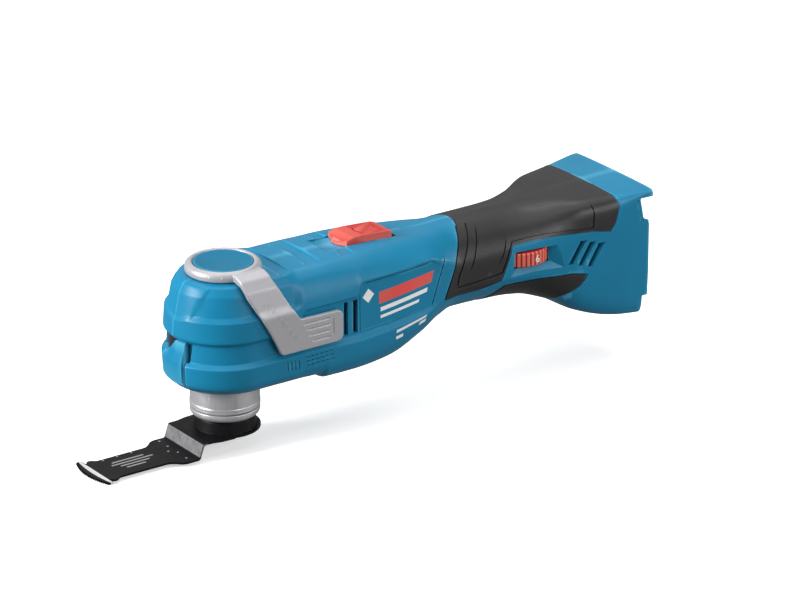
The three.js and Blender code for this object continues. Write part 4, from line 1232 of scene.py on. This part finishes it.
def dial():
    """Ribbed speed dial with its numeral."""
    cx, cy, radius, z0, z1 = (DIAL[key] for key in ("x", "y", "r", "z0", "z1"))
    ribs = 40
    rib = ((0.0, 0.9), (0.18, 0.15), (0.32, 0), (0.68, 0), (0.82, 0.15))   # share of a turn, depth
    outline = []
    for i in range(ribs):
        for k, depth in rib:
            a = 2 * math.pi * (i + k) / ribs
            outline.append(((radius - depth) * math.cos(a), (radius - depth) * math.sin(a)))
    rim = loft("dial_wheel", [
        [(cx + x * s, cy + y * s, z) for x, y in outline]
        for z, s in ((z0, 0.97), (z0 + 0.5, 1.0), (z1 - 0.5, 1.0), (z1, 0.97))])
    combine(rim, [disc_z("cut", cx, cy, 3.1, 60, 80, 32)])
    place(rim, "dial", RED, 30, ["speed_dial"])
    numeral = numeral_plate("dial_numeral", "6", 6.0, 0.2)
    facing = Matrix.Rotation(DIAL_FACE - math.radians(270), 4, "Z") @ Matrix.Rotation(math.pi / 2, 4, "X")
    spot = (cx + radius * math.cos(DIAL_FACE), cy + radius * math.sin(DIAL_FACE), z0 + 1.9)
    numeral.data.transform(Matrix.Translation(spot) @ facing)
    place(numeral, "dial", PRINT, 30)


def screws():
    """Housing screws with domed heads and star drives."""
    rings = ((11.3, 2.9), (11.5, 3.2), (13.2, 3.2), (13.9, 2.8), (14.2, 2.1))   # height, radius
    turn = [2 * math.pi * k / 12 for k in range(12)]
    for i, (x, z) in enumerate(SCREWS):
        body = bar_y(f"screw_{i + 1}", x, z, 1.5, -13, 11.6, 24)
        head = loft("head", [[(u, y, v) for u, v in circle(x, z, r, 40)] for y, r in rings])
        combine(body, [head], "UNION")
        star = []
        for k, a in enumerate(turn):
            r = 1.5 if k % 2 else 1.05
            star.append((x + r * math.cos(a), z + r * math.sin(a)))
        combine(body, [side_prism("cut", star, 12.6, 16)])
        place(body, "housing", DARK_STEEL, 30, [f"housing_screw_{i + 1}"])


# ---- battery interface
def battery_mount():
    """Battery seat with its deck, connector mouth, latch slot and lines."""
    body = box("battery_mount_body", 244.6, 249, -31.4, 31.4, 28, ROOF_Z)
    within(body, form("keep", WALL + 2 * GAP, CORE_RAILS, ROOF_X + 1))
    combine(body, [softened(box("deck", 248, TAIL_X, -31, 31, 36.5, 78), 0.8)], "UNION")
    mouth = [[(x, y, z) for y, z in rectangle(-20 - g, 12 + g, 44.5 - g, 70 + g)]
             for x, g in ((260.6, 0), (262.4, 1.8))]
    cuts = [box("cut", 251.5, 270, -20, 12, 44.5, 70), loft("cut", mouth),
            box("cut", 257.5, 270, -29, -24.5, 50, 64)]
    for z in (40.2, 74.3):
        cuts.append(box("cut", 261.2, 264, -28.5, 28.5, z - 0.7, z + 0.7))
    for k in range(5):
        y = 16.5 + k * 2.6
        cuts.append(box("cut", 261.0, 264, y, y + 1.2, 47, 67.5))
    combine(body, cuts)
    place(body, "housing", BLACK, 30, ["battery_mount"])


def rails():
    """Steel rails that hold the pack, one above and one below the deck."""
    ends = [(259, -33), (264, -33), (264, -28.2), (259.8, -31.4)]
    other = [(x, -y) for x, y in reversed(ends)]
    for word, sign, base in (("top", 1, 78.3), ("low", -1, 36.2)):
        lip = base + sign * 5.2
        web = base + sign * 1.6
        ledge = [(249.4, base), (TAIL_X, base), (TAIL_X, lip), (260.2, lip), (260.2, web), (249.4, web)]
        body = side_prism(f"battery_rail_{word}_strip", ledge[::sign], -31, 31)
        combine(body, [plan_prism("cut", ends, 20, 90), plan_prism("cut", other, 20, 90)])
        softened(body, 0.25, 1)
        place(body, "housing", RAIL, 30, [f"battery_rail_{word}"])


def terminals():
    """Terminal block with its four contact leaves."""
    pitch = 5.8
    block = box("terminal_body", 251.8, 254.6, -19.6, 11.6, 45, 69.5)
    for k in range(3):
        combine(block, [box("cut", 253.6, 256, -16.5, 8.5, 50.2 + k * pitch, 53.8 + k * pitch)])
    softened(block, 0.3, 1)
    place(block, "housing", BLACK, 30, ["terminal_block"])
    outline = filleted(rectangle(254.9, 261, -14, 2), [0, 1.6, 1.6, 0], 4)
    for k in range(4):
        z = 48.6 + k * pitch
        leaf = plan_prism(f"contact_{k + 1}_leaf", outline, z, z + 0.9)
        combine(leaf, [box("cut", 259.4, 262, -6.4, -5.6, z - 1, z + 2)])
        softened(leaf, 0.22, 1)
        place(leaf, "housing", BRASS, 30, [f"contact_{k + 1}"])


# ---- inner pieces kept from the frame
KEPT = [   # a material and the frame's own nodes that take it
    (STEEL, ["hook_pin_front", "hook_pin_rear", "clamp_hook_front", "clamp_hook_rear", "rotor_shaft",
             "eccentric_bearing", "upper_spindle_bearing", "lower_spindle_bearing",
             "motor_front_bearing", "motor_rear_bearing"]),
    (ALLOY, ["gearbox_cover", "fork_arm", "motor_front_shield", "motor_rear_shield"]),
    (BRASS, ["counterweight"]),
    (MAGNET, ["rotor_core", "stator"]),
    (BLACK, ["cooling_fan", "switch_module", "link_rod", "potentiometer", "battery_wire_black"]),
    (RED, ["battery_wire_red"]),
    (BOARD, ["led_board", "controller"]),
    (DARK_STEEL, ["gearbox_screw_1", "gearbox_screw_2"]),
]


def finish_kept_nodes():
    """Gives the frame's own inner nodes their procedural materials."""
    for material, names in KEPT:
        for name in names:
            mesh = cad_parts[name].data
            mesh.materials.clear()
            mesh.materials.append(material)


# ---- studio
WHITE = (1, 1, 1, 1)
FLOOR_HALF = 20.0                      # metres; only a low view still shows its far edge
FLOOR_Z = -0.002
LIGHTS = [   # name, where it stands, where it looks, size in metres and power in watts
    ("top", (0, -0.1, 1.55), (0, 0, 0), (2.0, 1.6), 14.5),
    ("key", (-1.45, 0.4, 0.62), (0, 0, 0.05), (0.6, 0.6), 32),
    ("fill", (1.35, -0.8, 0.32), (0, 0, 0.05), (0.6, 0.6), 5),
    ("front", (0.35, -1.45, 0.68), (0, 0, 0.05), (0.9, 0.7), 8.5),
    ("rear_card", (0.85, 1.2, 0.62), (0.05, 0, 0.06), (1.5, 0.8), 1.0),
    ("rear_top", (0.4, 0.7, 1.3), (0, 0, 0.05), (0.8, 0.6), 3.5),
    ("low_card", (0.64, -0.92, -0.42), (0, 0, 0.07), (1.1, 0.8), 0.7),
]


CAMERA_BACK = 2.68817                  # metres from the target to the camera
CAMERA_RIGHT = 0.09527                 # how far the view is shifted sideways and down
CAMERA_DOWN = 0.02188


def camera():
    """Long lens that looks down on the lever from the front left."""
    right = Vector((0.819, -0.574, 0)).normalized()
    up = Vector((0.2177, 0.3107, 0.9256)).normalized()
    back = right.cross(up).normalized()
    target = Vector((AXIS_X, 0, LEVER_TOP * MM))
    stand = target + back * CAMERA_BACK + right * CAMERA_RIGHT - up * CAMERA_DOWN
    data = bpy.data.cameras.new("camera")
    data.lens = 225
    data.sensor_width = 36
    data.clip_end = 50
    cam = add_object("camera", data)
    cam.matrix_world = Matrix.Translation(stand) @ Matrix((right, up, back)).transposed().to_4x4()
    bpy.context.scene.camera = cam


def area_light(name, stand, aim, size, power):
    """A rectangular light turned towards a point."""
    data = bpy.data.lights.new(name, "AREA")
    data.shape = "RECTANGLE"
    data.size, data.size_y = size
    data.energy = power
    light = add_object(name, data)
    light.location = stand
    light.rotation_euler = (Vector(aim) - Vector(stand)).to_track_quat("-Z", "Y").to_euler()
    return light


def white_floor():
    """A white floor that only shows itself and throws no light or reflections up."""
    mesh = bpy.data.meshes.new("floor")
    corners = rectangle(-FLOOR_HALF, FLOOR_HALF, -FLOOR_HALF, FLOOR_HALF)
    mesh.from_pydata([(x, y, FLOOR_Z) for x, y in corners], [], [(0, 1, 2, 3)])
    floor = add_object("floor", mesh)
    n = Nodes("floor_white")
    n.drive("Base Color", n.mix(n.noise(3, 3), (0.9, 0.9, 0.9, 1), (0.93, 0.93, 0.93, 1)))
    n.fix("Roughness", 0.9)
    n.fix("Specular IOR Level", 0.1)
    n.fix("Emission Color", WHITE)
    n.fix("Emission Strength", 0.5)
    mesh.materials.append(n.material)
    floor.visible_diffuse = False
    floor.visible_glossy = False
    floor.visible_shadow = False


def studio():
    """Floor, plain white surroundings and the lights."""
    white_floor()
    world = bpy.data.worlds.new("studio")
    world.use_nodes = True
    background = world.node_tree.nodes["Background"].inputs
    background["Color"].default_value = WHITE
    background["Strength"].default_value = 0.21
    bpy.context.scene.world = world
    bpy.context.scene.view_settings.view_transform = "Standard"
    for name, stand, aim, size, power in LIGHTS:
        light = area_light(name, stand, aim, size, power)
    # The last one, low_card, only shows in reflections.
    light.visible_diffuse = False
    light.visible_camera = False


# ---- assembly
shell()
label_marks()
grips()
nose()
lever()
collar()
spindle()
plunger()
blade()
slider()
dial()
screws()
battery_mount()
rails()
terminals()
finish_kept_nodes()
camera()
studio()
